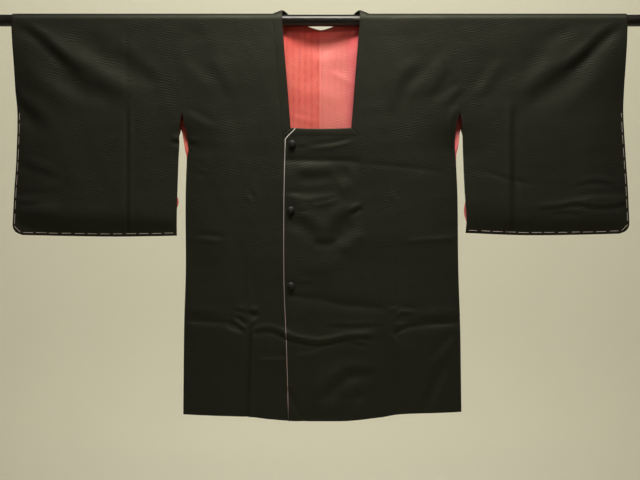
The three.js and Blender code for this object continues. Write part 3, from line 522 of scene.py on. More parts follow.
def relief(face, x, z):
    """Height of the folds and low waves at a place on the front or the back."""
    if face == "front":
        height = folds_height(FRONT_FOLDS, x, z) + waves_height(x, z)
    else:
        height = folds_height(BACK_FOLDS, x, z) + waves_height(-x, z + WAVE_BACK)
    return height * smooth(*FOLD_TOP, z)


def lens(distance, width=LENS):
    """Rise of a wall from a closed edge: 0 at the edge and 1 where it is fully apart."""
    return np.sin(np.clip(distance / width, 0, 1) * math.pi / 2)


def body_depth(x, z, face):
    """Distance of a wall's middle from the mid-plane, for the body."""
    distance = np.maximum(0, side_edge(face, x, z) - np.abs(x))
    sewn = smooth(ARMHOLE_Z, SLIT_Z, z)
    opened = lerp(1, lens(distance), sewn)
    calm = lerp(1, np.clip(distance / FOLD_EDGE, 0, 1), sewn)
    return np.maximum(PINCH, PINCH + (DEPTH[face] - PINCH) * opened + relief(face, x, z) * calm)


def sleeve_depth(x, z, face):
    """The same for a sleeve, closed at its bottom and, below the cuff, at its outer edge."""
    to_edge = np.maximum(0, by_side(SLEEVE_EDGE, x, z) - np.abs(x))
    to_bottom = np.maximum(0, z - by_side(SLEEVE_BOTTOM, x, np.abs(x)))
    to_furi = np.maximum(0, np.abs(x) - by_side(FURI_EDGE, x, z))
    sewn = smooth(CUFF_CLOSING_Z, CUFF_Z, z)
    loose = smooth(ARMHOLE_Z, ARMHOLE_Z - FURI_CLOSING, z)
    outer = lerp(1, lens(to_edge), sewn)
    inner = lerp(1, lerp(FURI_DEPTH, 1, lens(to_furi)), loose)
    calm = lerp(1, np.clip(to_edge / FOLD_EDGE, 0, 1), sewn) * np.clip(to_bottom / FOLD_EDGE, 0, 1)
    open_depth = PINCH + (DEPTH[face] - PINCH) * outer * inner * lens(to_bottom, BOTTOM_LENS)
    return np.maximum(PINCH, open_depth + relief(face, x, z) * calm)


def drape(x, q, depth_at, layer=0.0):
    """Places in space of the points x, q of the cloth; `layer` moves them off the outer cloth."""
    x, q, layer = np.broadcast_arrays(np.asarray(x, float), q, layer)
    bent = np.minimum(1, np.abs(q) / OVER_ROD) * math.pi / 2
    z = BEND * np.cos(bent) - np.maximum(0, np.abs(q) - OVER_ROD)
    depth = np.where(q < 0, depth_at(x, z, "front"), depth_at(x, z, "back")) + layer
    return np.stack([x, np.sign(q) * depth * np.sin(bent), z + layer * np.cos(bent)], axis=-1)


def sink(x, edge):
    """Depth of the ditch along a seam at this edge."""
    return -SEAM_SINK * np.exp(-(((x - edge) / SEAM_WIDTH) ** 2))


# ------------ meshes
def unit(vectors):
    """The vectors with a length of 1."""
    return vectors / np.maximum(np.linalg.norm(vectors, axis=-1, keepdims=True), 1e-9)


def grid_normals(points, closed=False):
    """Unit normals of a grid, towards the outside of the coat."""
    up = np.roll(points, -1, 0) - np.roll(points, 1, 0) if closed else np.gradient(points, axis=0)
    normals = unit(np.cross(up, np.gradient(points, axis=1)))
    outward = np.sum(normals[..., 1] * points[..., 1]) >= 0
    return normals if outward else -normals


def add_rim(grid, step, axis):
    """The grid with one more line just inside each end of an axis, where a round edge starts."""
    g = np.moveaxis(grid, axis, 0)

    def inside(edge, after):
        width = np.linalg.norm((after - edge)[..., :3], axis=-1, keepdims=True)
        return edge + (after - edge) * np.minimum(RIM_MOST, step / np.maximum(width, 1e-6))

    g = np.concatenate([g[:1], inside(g[0], g[1])[None], g[1:-1], inside(g[-1], g[-2])[None], g[-1:]])
    return np.moveaxis(g, 0, axis)


def quads_between(ids, closed=False):
    """Corners of the faces of a grid of vertex numbers."""
    if closed:
        ids = np.vstack([ids, ids[:1]])
    return np.stack([ids[:-1, :-1], ids[:-1, 1:], ids[1:, 1:], ids[1:, :-1]], -1).reshape(-1, 4)


def mesh_object(name, vertices, faces, materials, face_materials=None, uvs=None):
    """A smooth mesh object from vertices in mm."""
    mesh = bpy.data.meshes.new(name)
    mesh.from_pydata((np.asarray(vertices) * MM).tolist(), [], [list(map(int, f)) for f in faces])
    if uvs is not None:
        layer = mesh.uv_layers.new(name="Cloth")
        corners = np.concatenate([np.asarray(f, int) for f in faces])
        layer.data.foreach_set("uv", (np.asarray(uvs)[corners] * MM).astype(np.float32).ravel())
    for material in materials:
        mesh.materials.append(material)
    if face_materials is not None:
        mesh.polygons.foreach_set("material_index", np.asarray(face_materials, np.int32))
    mesh.shade_smooth()
    mesh.set_sharp_from_angle(angle=math.radians(SHARP_ANGLE))
    mesh.update()
    piece = bpy.data.objects.new(name, mesh)
    bpy.context.collection.objects.link(piece)
    return piece


def shell(name, points, cloth, thickness, materials, closed=False, lined=None, seams=()):
    """A thin closed wall with rounded edges around a grid of middle points.

    `cloth` has the cloth coordinates of the points. `lined` says where the inner face shows the
    second material, the lining. `seams` names the edges that are sewn to a neighbour: inner and
    outer for the first and last column, first and last for the rows.
    """
    whole = np.ones(points.shape[:2])
    grid = np.dstack([points, cloth, whole if lined is None else lined, whole])
    rim_step = thickness * EDGE_ROUND
    grid = add_rim(grid, rim_step, 1)
    for column, edge in ((0, "inner"), (-1, "outer")):
        grid[:, column, -1] = SEAM_THIN if edge in seams else EDGE_THIN
    if not closed:
        grid = add_rim(grid, rim_step, 0)
        for row, edge in ((0, "first"), (-1, "last")):
            grid[row, :, -1] *= SEAM_THIN if edge in seams else EDGE_THIN
    middle, uv, lined, share = np.split(grid, (3, 5, 6), axis=-1)
    offset = grid_normals(middle, closed) * (thickness / 2 * share)
    rows, columns = middle.shape[:2]
    outer_ids = np.arange(rows * columns).reshape(rows, columns)
    inner_ids = outer_ids + rows * columns
    outer = quads_between(outer_ids, closed)
    inner = quads_between(inner_ids, closed)
    rims = [(outer_ids[:, 0], inner_ids[:, 0]), (inner_ids[:, -1], outer_ids[:, -1])]
    if not closed:
        rims += [(inner_ids[0], outer_ids[0]), (outer_ids[-1], inner_ids[-1])]
    rim = np.vstack([quads_between(np.stack(pair, 1), closed) for pair in rims])
    vertices = np.vstack([(middle + offset).reshape(-1, 3), (middle - offset).reshape(-1, 3)])
    a, b, c = (vertices[outer[:, k]] for k in (0, 1, 2))
    turned = np.sum(np.cross(b - a, c - a) * offset.reshape(-1, 3)[outer[:, 0]]) < 0
    faces = [outer[:, ::-1], inner, rim[:, ::-1]] if turned else [outer, inner[:, ::-1], rim]
    lining = lined.reshape(-1)[outer[:, 0]] > 0.5
    slots = np.concatenate([np.zeros(len(outer)), lining * (len(materials) - 1), np.zeros(len(rim))])
    uvs = np.vstack([uv.reshape(-1, 2)] * 2)
    return mesh_object(name, vertices, np.vstack(faces), materials, slots, uvs)


def circle(sides):
    """Angles of a ring's corners."""
    return np.arange(sides) * 2 * math.pi / sides


def ring_faces(count, sides):
    """Faces of a stack of rings, and its two ends."""
    ids = np.arange(count * sides).reshape(count, sides)
    faces = [list(f) for f in quads_between(np.hstack([ids, ids[:, :1]]))]
    return faces + [list(ids[0][::-1]), list(ids[-1])]


def sweep(path, facing, width, height, sides=10):
    """Vertices and faces of a rounded strand along a path on the front (-1) or the back (1)."""
    along = unit(np.gradient(path, axis=0))
    outward = np.tile([0.0, facing, 0.0], (len(path) + 2, 1))
    first = path[0] - along[0] * height * END_REACH
    last = path[-1] + along[-1] * height * END_REACH
    path = np.vstack([first, path, last])
    across = unit(np.cross(np.vstack([along[:1], along, along[-1:]]), outward))
    size = np.ones(len(path))
    size[[0, -1]], size[[1, -2]] = END_SIZES
    angles = circle(sides)[None, :, None]
    ring = across[:, None] * np.cos(angles) * width / 2 + outward[:, None] * np.sin(angles) * height / 2
    vertices = (path[:, None] + ring * size[:, None, None]).reshape(-1, 3)
    return vertices, ring_faces(len(path), sides)


def lathe(name, axis, profile, sides, material, middle=(0, 0, 0), inward=False):
    """Rings of a profile's (place, radius) rows round an axis of the frame.

    It faces out and is closed at both ends, or faces in and is open at its last ring.
    """
    angles = circle(sides)
    across, up = (other for other in range(3) if other != axis)
    rings = np.zeros((len(profile), sides, 3))
    for ring, (place, radius) in zip(rings, profile):
        ring[:, axis] = place
        ring[:, across] = radius * np.cos(angles)
        ring[:, up] = radius * np.sin(angles)
    faces = ring_faces(len(profile), sides)
    faces = faces[:-1] if inward else [face[::-1] for face in faces]
    return mesh_object(name, rings.reshape(-1, 3) + middle, faces, [material])


def joined(parts):
    """Several (vertices, faces) as one."""
    vertices, faces, count = [], [], 0
    for points, polygons in parts:
        vertices.append(points)
        faces += [[i + count for i in f] for f in polygons]
        count += len(points)
    return np.vstack(vertices), faces


# ------------ materials
def linear(red, green, blue):
    """An sRGB colour of 0 to 255 as linear values with alpha."""
    def channel(value):
        value /= 255
        return value / 12.92 if value < 0.04045 else ((value + 0.055) / 1.055) ** 2.4
    return (channel(red), channel(green), channel(blue), 1)


class Finish:
    """A node material that is built up one node at a time."""

    def __init__(self, name):
        self.material = bpy.data.materials.new(name)
        self.material.use_nodes = True
        self.tree = self.material.node_tree
        self.shader = self.tree.nodes["Principled BSDF"]

    def node(self, kind, inputs=None, **settings):
        made = self.tree.nodes.new("ShaderNode" + kind)
        for key, value in settings.items():
            setattr(made, key, value)
        for key, value in (inputs or {}).items():
            self.put(made.inputs[key], value)
        return made

    def put(self, socket, value):
        if isinstance(value, bpy.types.NodeSocket):
            self.tree.links.new(value, socket)
        else:
            socket.default_value = value

    def set(self, **values):
        for key, value in values.items():
            self.put(self.shader.inputs[key.replace("_", " ")], value)

    def uv(self):
        return self.node("UVMap", uv_map="Cloth").outputs["UV"]

    def place(self):
        return self.node("TexCoord").outputs["Object"]

    def axes(self):
        return self.node("SeparateXYZ", {"Vector": self.place()}).outputs

    def ramp(self, factor, start, end, low=0.0, high=1.0):
        """A grey that is low up to the start and high from the end on."""
        made = self.node("ValToRGB", {"Fac": factor})
        for element, place, grey in zip(made.color_ramp.elements, (start, end), (low, high)):
            element.position = place
            element.color = (grey, grey, grey, 1)
        return made.outputs["Color"]

    def mix(self, factor, a, b):
        made = self.node("Mix", data_type="RGBA")
        colors = [socket for socket in made.inputs if socket.type == "RGBA"]
        self.put(made.inputs["Factor"], factor)
        self.put(colors[0], a)
        self.put(colors[1], b)
        return next(socket for socket in made.outputs if socket.type == "RGBA")

    def math(self, operation, a, b=0.0):
        made = self.node("Math", operation=operation)
        self.put(made.inputs[0], a)
        self.put(made.inputs[1], b)
        return made.outputs[0]

    def times(self, a, b):
        return self.math("MULTIPLY", a, b)

    def graded(self, factor, start, change):
        """A value that changes from the start by this much as the factor goes from 0 to 1."""
        return self.math("ADD", self.times(factor, change), start)

    def below(self, start, end):
        """0 above the start and 1 below the end, both metres under the rod's axis."""
        return self.ramp(self.times(self.axes()["Z"], -1.0), start, end)

    def noise(self, vector, scale, detail=2.0, roughness=0.5):
        return self.node("TexNoise", {"Vector": vector, "Scale": scale, "Detail": detail,
                                      "Roughness": roughness}).outputs["Fac"]

    def stretched(self, vector, *scale):
        return self.node("Mapping", {"Vector": vector, "Scale": scale}).outputs["Vector"]

    def turned(self, vector, degrees):
        turn = (0, 0, math.radians(degrees))
        return self.node("Mapping", {"Vector": vector, "Rotation": turn}).outputs["Vector"]

    def waves(self, vector, period, distortion, detail_scale=1.5):
        """Bands across the second axis, one period in metres apart."""
        return self.node("TexWave", {"Vector": vector, "Scale": 0.1 * math.pi / period,
                                     "Distortion": distortion, "Detail": 2.0,
                                     "Detail Scale": detail_scale},
                         bands_direction="Y").outputs["Fac"]

    def bump(self, height, distance, strength=1.0, normal=None):
        made = self.node("Bump", {"Height": height, "Distance": distance, "Strength": strength})
        if normal is not None:
            self.put(made.inputs["Normal"], normal)
        return made.outputs["Normal"]


def silk_finish():
    """Black figured silk: fine slanted ripples in patches, a shade glossier than the ground and painted
    a little lighter as painted sheen.
    """
    f = Finish("Black figured silk")
    cloth = f.uv()
    ripples = f.waves(f.turned(cloth, -13), period=0.0053, distortion=3.2, detail_scale=2.2)
    patches = f.ramp(f.noise(f.stretched(cloth, 1, 1.5, 1), 17.0, 3.0), 0.46, 0.62)
    figure = f.times(ripples, patches)
    grain = f.noise(f.stretched(cloth, 1, 2.4, 1), 520.0, 3.0)
    slub = f.noise(f.stretched(cloth, 8, 60, 1), 6.0, 4.0, 0.6)
    tone = f.mix(f.noise(cloth, 7.0, 4.0, 0.6), linear(19, 19, 17), linear(25, 25, 21))
    # Painted sheen: the woven figure is lightened, for the glints where its ripples catch the light.
    tone_and_figure_sheen = f.mix(f.times(figure, 0.09), tone, linear(44, 43, 35))
    f.set(Base_Color=f.mix(f.times(slub, 0.25), tone_and_figure_sheen, linear(15, 15, 12)))
    f.set(Roughness=f.math("ADD", f.graded(figure, 0.58, -0.1), f.times(grain, 0.06)))
    f.set(Specular_IOR_Level=0.3, Specular_Tint=(1, 1, 0.68, 1))
    surface = f.bump(grain, 0.00022, 0.5)
    surface = f.bump(slub, 0.0006, 0.5, surface)
    f.set(Normal=f.bump(figure, 0.00042, 0.5, surface))
    return f.material


def lining_finish():
    """Coral lining: orange with soft columns on the wearer's right, pinker and plain on the left, with
    painted shade and sheen.
    """
    f = Finish("Coral lining")
    cloth, x = f.uv(), f.axes()["X"]
    left_half = f.ramp(f.graded(x, 0.62, 40.0), 0.45, 0.55)
    columns = f.ramp(f.waves(f.turned(cloth, 90), 0.0131, 1.6, 1.2), 0.4, 0.95)
    broken = f.ramp(f.noise(cloth, 60.0), 0.38, 0.6, low=0.3)
    columns = f.times(columns, broken)
    ripples = f.mix(left_half, f.waves(f.turned(cloth, -26), 0.0052, 2.6, 1.8),
                    f.waves(f.turned(cloth, -12), 0.0056, 3.4, 1.8))
    flecks = f.times(ripples, f.ramp(f.noise(cloth, 24.0, 3.0), 0.45, 0.68))
    cloudy = f.noise(cloth, 16.0, 4.0, 0.6)
    # The orange and pink tones of the two halves are painted sheen: the two panels catch the light
    # differently.
    orange = f.mix(cloudy, linear(211, 88, 79), linear(226, 110, 95))
    # Painted shade: the pink darkens towards the neckband at +X, where the collar's edge shades the
    # lining.
    rosy_with_edge_shade = f.mix(f.ramp(x, 0.05, 0.068), linear(229, 134, 118), linear(224, 106, 111))
    pink = f.mix(cloudy, linear(219, 102, 102), rosy_with_edge_shade)
    shade = f.times(columns, f.graded(left_half, 0.29, -0.26))
    tone = f.mix(shade, f.mix(left_half, orange, pink), linear(180, 40, 44))
    tone = f.mix(f.times(flecks, 0.17), tone, linear(255, 176, 152))
    # Painted shadow of the rod: just under it the lining turns a deeper red, for the rod's shade and
    # the red light bounced inside the neck.
    painted_rod_shadow = f.graded(f.below(0.028, 0.06), 0.55, -0.55)
    f.set(Base_Color=f.mix(painted_rod_shadow, tone, linear(226, 44, 48)))
    f.set(Roughness=f.graded(ripples, 0.62, -0.12))
    f.set(Specular_IOR_Level=0.3, Sheen_Weight=0.1, Sheen_Roughness=0.5)
    f.set(Normal=f.bump(flecks, 0.0005, 0.45, f.bump(columns, 0.0004, 0.4)))
    return f.material


def piping_finish():
    """Pale piping: palest at the corner, then greyer and pinker lower down, and dark at the hem."""
    f = Finish("Pale piping")
    dirt = f.noise(f.place(), 45.0, 4.0, 0.65)
    tone = f.mix(f.below(0.3, 0.5), linear(212, 198, 190), linear(158, 138, 132))
    soiled = f.mix(f.times(dirt, 0.5), tone, linear(104, 84, 78))
    lower = f.mix(f.below(0.25, 0.275), linear(240, 228, 222), soiled)
    f.set(Base_Color=f.mix(f.below(0.806, 0.832), lower, linear(62, 50, 46)))
    f.set(Roughness=f.graded(dirt, 0.6, 0.15), Sheen_Weight=0.2)
    f.set(Normal=f.bump(f.noise(f.place(), 900.0), 0.0002, 0.5))
    return f.material


def thread_finish():
    """Pale basting thread, loosely twisted."""
    f = Finish("Basting thread")
    place = f.place()
    fuzz = f.noise(place, 700.0, 3.0)
    f.set(Base_Color=f.mix(fuzz, linear(198, 180, 166), linear(232, 218, 206)))
    f.set(Roughness=f.graded(fuzz, 0.62, 0.2), Sheen_Weight=0.2)
    f.set(Normal=f.bump(f.waves(f.turned(place, 45), 0.0012, 0.4), 0.0002))
    return f.material


def button_finish():
    """Black silk drawn over a button: tighter, so a little glossier."""
    f = Finish("Covered button")
    grain = f.noise(f.place(), 600.0, 3.0)
    f.set(Base_Color=f.mix(grain, linear(24, 23, 20), linear(38, 37, 32)))
    f.set(Roughness=f.graded(grain, 0.5, 0.12))
    f.set(Specular_IOR_Level=0.3, Normal=f.bump(grain, 0.0002, 0.6))
    return f.material


def rod_finish():
    """Glossy black paint with faint rub marks, its black lifted to a warm grey as painted bounce light.
    """
    f = Finish("Glossy black paint")
    rubs = f.noise(f.stretched(f.place(), 3, 60, 60), 3.0, 5.0, 0.65)
    # Painted reflection: the warm grey stands in for light bounced off the red lining and the floor.
    f.set(Base_Color=f.mix(rubs, linear(20, 17, 14), linear(30, 26, 22)))
    f.set(Roughness=f.graded(rubs, 0.24, 0.14))
    f.set(Specular_IOR_Level=0.32, Specular_Tint=(1, 0.95, 0.86, 1))
    f.set(Normal=f.bump(rubs, 0.0001, 0.3))
    return f.material


def stage_finish():
    """Plain pale matt floor."""
    f = Finish("Plain pale stage")
    f.set(Base_Color=linear(232, 228, 206), Roughness=0.9, Specular_IOR_Level=0.1)
    return f.material


# ------------ body, sleeves and linings
def body_grid(sign):
    """Cloth coordinates of one body panel's points, from the front hem to the back hem."""
    side = SIDES[sign]
    across = np.linspace(0, 1, COLUMNS["body"])
    rows = []

    def add_row(inner, outer, q_of_x):
        x = sign * lerp(inner, outer, across)
        rows.append((x, q_of_x(x)))

    for level in spaced(HEM_LEVEL, 0):
        outer = table_at(SIDE_EDGE["front", side], -level)
        add_row(front_seam(level), outer, lambda x: -cloth_at(row_height(level, x)))
    for q in np.linspace(-OVER_ROD, 0, ROD_ROWS)[1:]:
        add_row(SEAM_SHOULDER_X, ARMHOLE_X, lambda x: np.full_like(x, q))
    turns = neck_seam(SEAM_SHOULDER_X * np.cos(np.linspace(0, math.pi / 2, NECK_ROWS)[1:]))
    for q in turns:
        add_row(back_seam(q), ARMHOLE_X, lambda x: np.full_like(x, q))
    for level in spaced(NECK_BACK_SEAM - OVER_ROD, HEM_LEVEL)[1:]:
        outer = table_at(SIDE_EDGE["back", side], -level)
        add_row(0, outer, lambda x: cloth_at(row_height(level, x, BACK_HEM_RISE)))
    return np.array([x for x, _ in rows]), np.array([q for _, q in rows])


def body_panel(sign, silk, lining):
    side = SIDES[sign]
    x, q = body_grid(sign)
    sewn_out = sink(x, x[:, -1:]) * (np.abs(q) < cloth_at(ARMHOLE_Z))
    points = drape(x, q, body_depth, sink(x, x[:, :1]) + sewn_out)
    from_hem = np.abs(q).max() - np.abs(q)
    lined = ((from_hem > FACING) & ((q > 0) | (np.abs(x) > SEAM_SHOULDER_X + FACING))).astype(float)
    cloth = np.dstack([np.abs(x), q])
    return shell(f"body_{side}", points, cloth, SILK, [silk, lining], lined=lined,
                 seams=("inner", "outer"))


def sleeve_rows(sign, z, q):
    """Cloth coordinates of a sleeve's row at height z and cloth length q."""
    side = SIDES[sign]
    low = sleeve_low(sign)
    inside = np.clip((low + SLEEVE_CORNER - z) / SLEEVE_CORNER, 0, 1)
    cut = SLEEVE_CORNER * (1 - math.sqrt(1 - inside * inside))
    start = ARMHOLE_X if z > ARMHOLE_Z else table_at(FURI_EDGE[side], z)
    start += FURI_BACK * smooth(*FURI_BACK_TOP, z) if q > 0 else 0
    across = np.linspace(0, 1, COLUMNS["sleeve"])
    x = sign * lerp(start, table_at(SLEEVE_EDGE[side], z) - cut, across)
    down = smooth(SLEEVE_LOW_ROWS, low, z) * (table_at(SLEEVE_BOTTOM[side], np.abs(x)) - low)
    return x, (q + down if q < 0 else q - down)


def sleeve_low(sign):
    """Height of a sleeve's bottom at its outer corner."""
    side = SIDES[sign]
    return float(table_at(SLEEVE_BOTTOM[side], table_at(SLEEVE_EDGE[side], SLEEVE_CORNER_Z)))


def sleeve_heights(sign):
    """Heights of a sleeve's rows from the rod's axis down, closer round the lower corner."""
    low = sleeve_low(sign)
    corner = low + SLEEVE_CORNER * (1 - np.sin(np.linspace(0, math.pi / 2, CORNER_ROWS)[1:-1]))
    return np.concatenate([spaced(0, low + SLEEVE_CORNER), corner, [low + LAST_ROW]])


def sleeve_panel(sign, silk, lining):
    side = SIDES[sign]
    heights = sleeve_heights(sign)
    low = sleeve_low(sign)
    front = [sleeve_rows(sign, z, -cloth_at(z)) for z in heights[::-1]]
    over = [sleeve_rows(sign, BEND, q)
            for q in np.linspace(-OVER_ROD, OVER_ROD, 2 * ROD_ROWS - 1)[1:-1]]
    back = [sleeve_rows(sign, z, cloth_at(z)) for z in heights]
    x, q = (np.array([row[k] for row in front + over + back]) for k in (0, 1))
    hung = sink(x, x[:, :1]) * (np.abs(q) < cloth_at(ARMHOLE_Z))
    points = drape(x, q, sleeve_depth, hung)
    bottom_x, bottom_q = sleeve_rows(sign, low, -cloth_at(low))
    bottom = drape(bottom_x, bottom_q, sleeve_depth)
    bottom[:, 1] = 0
    bottom[:, 2] -= PINCH
    points = np.vstack([bottom[None], points])
    cloth = np.dstack([np.abs(np.vstack([bottom_x[None], x])), np.vstack([bottom_q[None], q])])
    across = np.abs(cloth[..., 0])
    lined = ((across > ARMHOLE_X + FACING / 2) & (across < CUFF_X - FACING / 2)).astype(float)
    return shell(f"sleeve_{side}", points, cloth, SILK, [silk, lining], closed=True, lined=lined,
                 seams=("inner",))


def back_lining(sign, lining):
    """Half of the back lining, from the back neck edge to just above the hem."""
    side = SIDES[sign]
    across = np.linspace(0, 1, COLUMNS["back lining"])
    rows_x, rows_q = [], []
    for t in np.linspace(0, 1, 10)[:-1]:
        x = sign * lerp(0, ARMHOLE_X - LINING_SIDE, across)
        top = np.maximum(OVER_ROD + LINING_TOP, neck_edge(x) + LINING_NECK)
        rows_x.append(x)
        rows_q.append(lerp(top, NECK_BACK_SEAM, t))
    for level in spaced(NECK_BACK_SEAM - OVER_ROD, HEM_LEVEL - LINING_HEM, LINING_SPACING):
        slit = smooth(*SLIT_TOP, -level) * smooth(*SLIT_BOTTOM, -level)
        outer = table_at(SIDE_EDGE["back", side], -level) - lerp(LINING_SIDE, LINING_SLIT, slit)
        x = sign * lerp(0, outer, across)
        rows_x.append(x)
        rows_q.append(cloth_at(row_height(level, x, BACK_HEM_RISE)))
    x, q = np.array(rows_x), np.array(rows_q)
    z = OVER_ROD - q
    folds = folds_height(LINING_FOLDS, x, z) * smooth(*LINING_FOLD_TOP, z)
    folds = np.where(folds > 0, folds / 2, folds)
    points = drape(x, q, body_depth, folds - BACK_LINING_DROP)
    return shell(f"lining_back_{side}", points, np.dstack([x, q]), LINING, [lining])


def sleeve_lining(sign, lining):
    """Lining of a sleeve's back half, which shows in the cuff and along the open inner edge."""
    side = SIDES[sign]
    across = np.linspace(0, 1, COLUMNS["sleeve lining"])
    rows_x, rows_q = [], []
    for z in spaced(0, sleeve_low(sign) + LINING_SLEEVE["bottom"], LINING_SPACING):
        x, q = sleeve_rows(sign, z, cloth_at(z))
        middle, reach, past = FURI_PEEK[side]
        peek = past * math.exp(-(((z - middle) / reach) ** 2))
        inset = FURI_INSET - peek if z < ARMHOLE_Z else LINING_SLEEVE["armhole"]
        inner, outer = abs(x[0]) + inset, abs(x[-1]) - LINING_SLEEVE["cuff"]
        rows_x.append(sign * lerp(inner, outer, across))
        rows_q.append(np.interp(np.abs(rows_x[-1]), np.abs(x), q))
    x, q = np.array(rows_x), np.array(rows_q)
    points = drape(x, q, sleeve_depth, -LINING_DROP)
    return shell(f"lining_sleeve_{side}", points, np.dstack([np.abs(x), q]), LINING, [lining])


# ------------ neckband and overlap
def band_puff(share):
    """Rise of a band between its folded edge (share 0) and its seam (share 1)."""
    return BAND_PUFF * np.sin(np.clip(share, 0, 1) * math.pi) ** PUFF_POWER


def neckband(silk):
    """The band up both sides of the neck opening and round the back."""
    inner_x, inner_q, outer_x, outer_q = [], [], [], []

    def add(ix, iq, ox, oq):
        inner_x.append(ix), inner_q.append(iq), outer_x.append(ox), outer_q.append(oq)

    def side_up(sign, share):
        outer_z = lerp(SEAM_CORNER_Z, 0, share)
        add(sign * lerp(NECK_CORNER_X, NECK_SHOULDER_X, share),
            -cloth_at(lerp(NECK_CORNER_Z, 0, share)),
            sign * float(front_seam(-outer_z)), -cloth_at(outer_z))

    sides = np.linspace(0, 1, BAND_SIDE_ROWS)
    bends = np.linspace(-OVER_ROD, 0, ROD_ROWS)[1:-1]
    for share in sides:
        side_up(1, share)
    for q in bends:
        add(NECK_SHOULDER_X, q, SEAM_SHOULDER_X, q)
    for t in np.linspace(0, 1, BAND_BACK_ROWS):
        turn = math.cos(t * math.pi)
        edge, seam = NECK_SHOULDER_X * turn, SEAM_SHOULDER_X * turn
        add(edge, float(neck_edge(edge)), seam, float(neck_seam(seam)))
    for q in bends[::-1]:
        add(-NECK_SHOULDER_X, q, -SEAM_SHOULDER_X, q)
    for share in sides[::-1]:
        side_up(-1, share)
    share = np.linspace(0, 1, BAND_COLUMNS)[None]
    x = lerp(np.array(inner_x)[:, None], np.array(outer_x)[:, None], share)
    q = lerp(np.array(inner_q)[:, None], np.array(outer_q)[:, None], share)
    points = drape(x, q, body_depth, band_puff(share))
    points[..., 2] += NECK_PEAK * (1 - share) * np.exp(-((q / NECK_PEAK_WIDTH) ** 2))
    return shell("neckband", points, np.dstack([q, np.abs(x)]), SILK, [silk], seams=("outer",))


def beside(line, distance):
    """A line of (z, x) rows moved sideways across the cloth."""
    p = np.array(line, float)
    run = np.empty_like(p)
    run[1:-1], run[0], run[-1] = p[2:] - p[:-2], p[1] - p[0], p[-1] - p[-2]
    run = unit(run)
    return np.stack([p[:, 0] + run[:, 1] * distance, p[:, 1] - run[:, 0] * distance], axis=1)


def line_at(line, level):
    """The x of a line of (z, x) rows at a level of the front."""
    rows = np.array(line)[::-1]
    return np.interp(-np.asarray(level, float), rows[:, 0], rows[:, 1])


PANEL_EDGE = beside(FREE_EDGE, PIPING_WIDTH)
PIPING_MIDDLE = beside(FREE_EDGE, PIPING_WIDTH / 2)


def top_edge(level):
    """Free edge of the top panel, beside its piping."""
    return line_at(PANEL_EDGE, level)


def changed_over(x):
    """How far the overlap panels have changed from the inner to the outer layer at x."""
    return smooth(*OVERLAP_RAMP, x)


def top_layer(x):
    return LAYER * changed_over(x)


def under_layer(x):
    return -LAYER * (1 - changed_over(x))


def overlap_panel(name, start, end, layer, silk, seam):
    """A panel between two edges, each the x at a level, with its body seam inner or outer."""
    level = spaced(-SEAM_CORNER_Z, HEM_LEVEL)[:, None]
    x = lerp(start(level), end(level), np.linspace(0, 1, COLUMNS["panel"])[None])
    q = -cloth_at(row_height(level, x))
    ditch = sink(x, x[:, [0 if seam == "inner" else -1]])
    points = drape(x, q, body_depth, layer(x) + ditch)
    return shell(name, points, np.dstack([x, q]), SILK, [silk], seams=("first", seam))


def mitre(level):
    """Seam between the neckband's side and its stretch along the top of a panel."""
    share = (-level - NECK_CORNER_Z) / (SEAM_CORNER_Z - NECK_CORNER_Z)
    return lerp(NECK_CORNER_X, SEAM_CORNER_X, share)


def under_seam(level):
    return -front_seam(level)


def under_edge(level):
    """Free edge of the under panel."""
    return front_seam(level) - UNDER_EDGE


def under_mitre(level):
    return -mitre(level)


def under_band_end(level):
    return np.full_like(level, NECK_CORNER_X - UNDER_EDGE)


def band_stretch(name, start, end, layer, silk):
    """A stretch of neckband along the top of an overlap panel."""
    share = np.linspace(0, 1, 8)[:, None]
    level = lerp(-NECK_CORNER_Z, -SEAM_CORNER_Z, share)
    x = lerp(start(level), end(level), np.linspace(0, 1, COLUMNS["panel"])[None])
    sag = NECK_SAG * np.clip(1 - (x / NECK_CORNER_X) ** 2, 0, 1) * (1 - share)
    q = -cloth_at(-level - sag)
    points = drape(x, q, body_depth, layer(x) + band_puff(share))
    return shell(name, points, np.dstack([x, q]), SILK, [silk], seams=("last",))


def edge_piping(piping):
    """The piping down the top panel's free edge, from its upper corner to the hem."""
    top, corner = -FREE_EDGE[0][0], -FREE_EDGE[2][0]
    level = np.concatenate([spaced(top, corner, CORNER_SPACING), spaced(corner, HEM_LEVEL)[1:]])
    x = line_at(PIPING_MIDDLE, level)
    path = drape(x, -cloth_at(row_height(level, x)), body_depth, top_layer(x) + PIPING_RISE)
    strand = sweep(path, -1, PIPING_WIDTH, PIPING_THICKNESS)
    return mesh_object("edge_piping", *strand, [piping])


# ------------ buttons, basting and rod
BUTTON_RIM = [(0.9, 0.0), (0.99, 0.1), (1.0, 0.22)]  # shares of the radius and the height
DOME_START = 0.25  # share of the height below the button's dome
GATHERS, GATHER_SIZE = 11, 0.012  # waves round the rim, and their share of the radius
GATHER_FADE = 2.2  # they run out at one part in this of the height
THREAD_WIDTH, THREAD_HEIGHT = 0.75, 0.7
THREAD_ARCH, THREAD_SUNK = 0.62, 0.25  # shares of its height that a stitch rises and lies sunk
STITCH, STITCH_GAP = 21.5, 5.8
STITCH_UNEVEN = (-3.5, 1.5)  # a stitch's length differs by this
STITCH_WANDER = 0.4  # and it lies this much higher or lower
STITCH_SHORTEST = 8
STITCH_THROUGH = 0.6  # from a stitch's end to the one behind the sleeve
BASTING_TOP = 10  # the basting starts this far below the cuff
BASTING_INSET = 4.2  # from the sleeve's edges
BASTING_CORNER = 12.6  # it cuts the corner by this much each way
BASTING_STEP = 2.0  # between the points of its route
BOTTOM_READ_X, FURI_READ_Z = 640, -445  # where the edges are read for its turn and its end
ROD_END = [(0, 0.86), (0.5, 0.96), (1.8, 1.0)]  # distance from the end, share of the radius
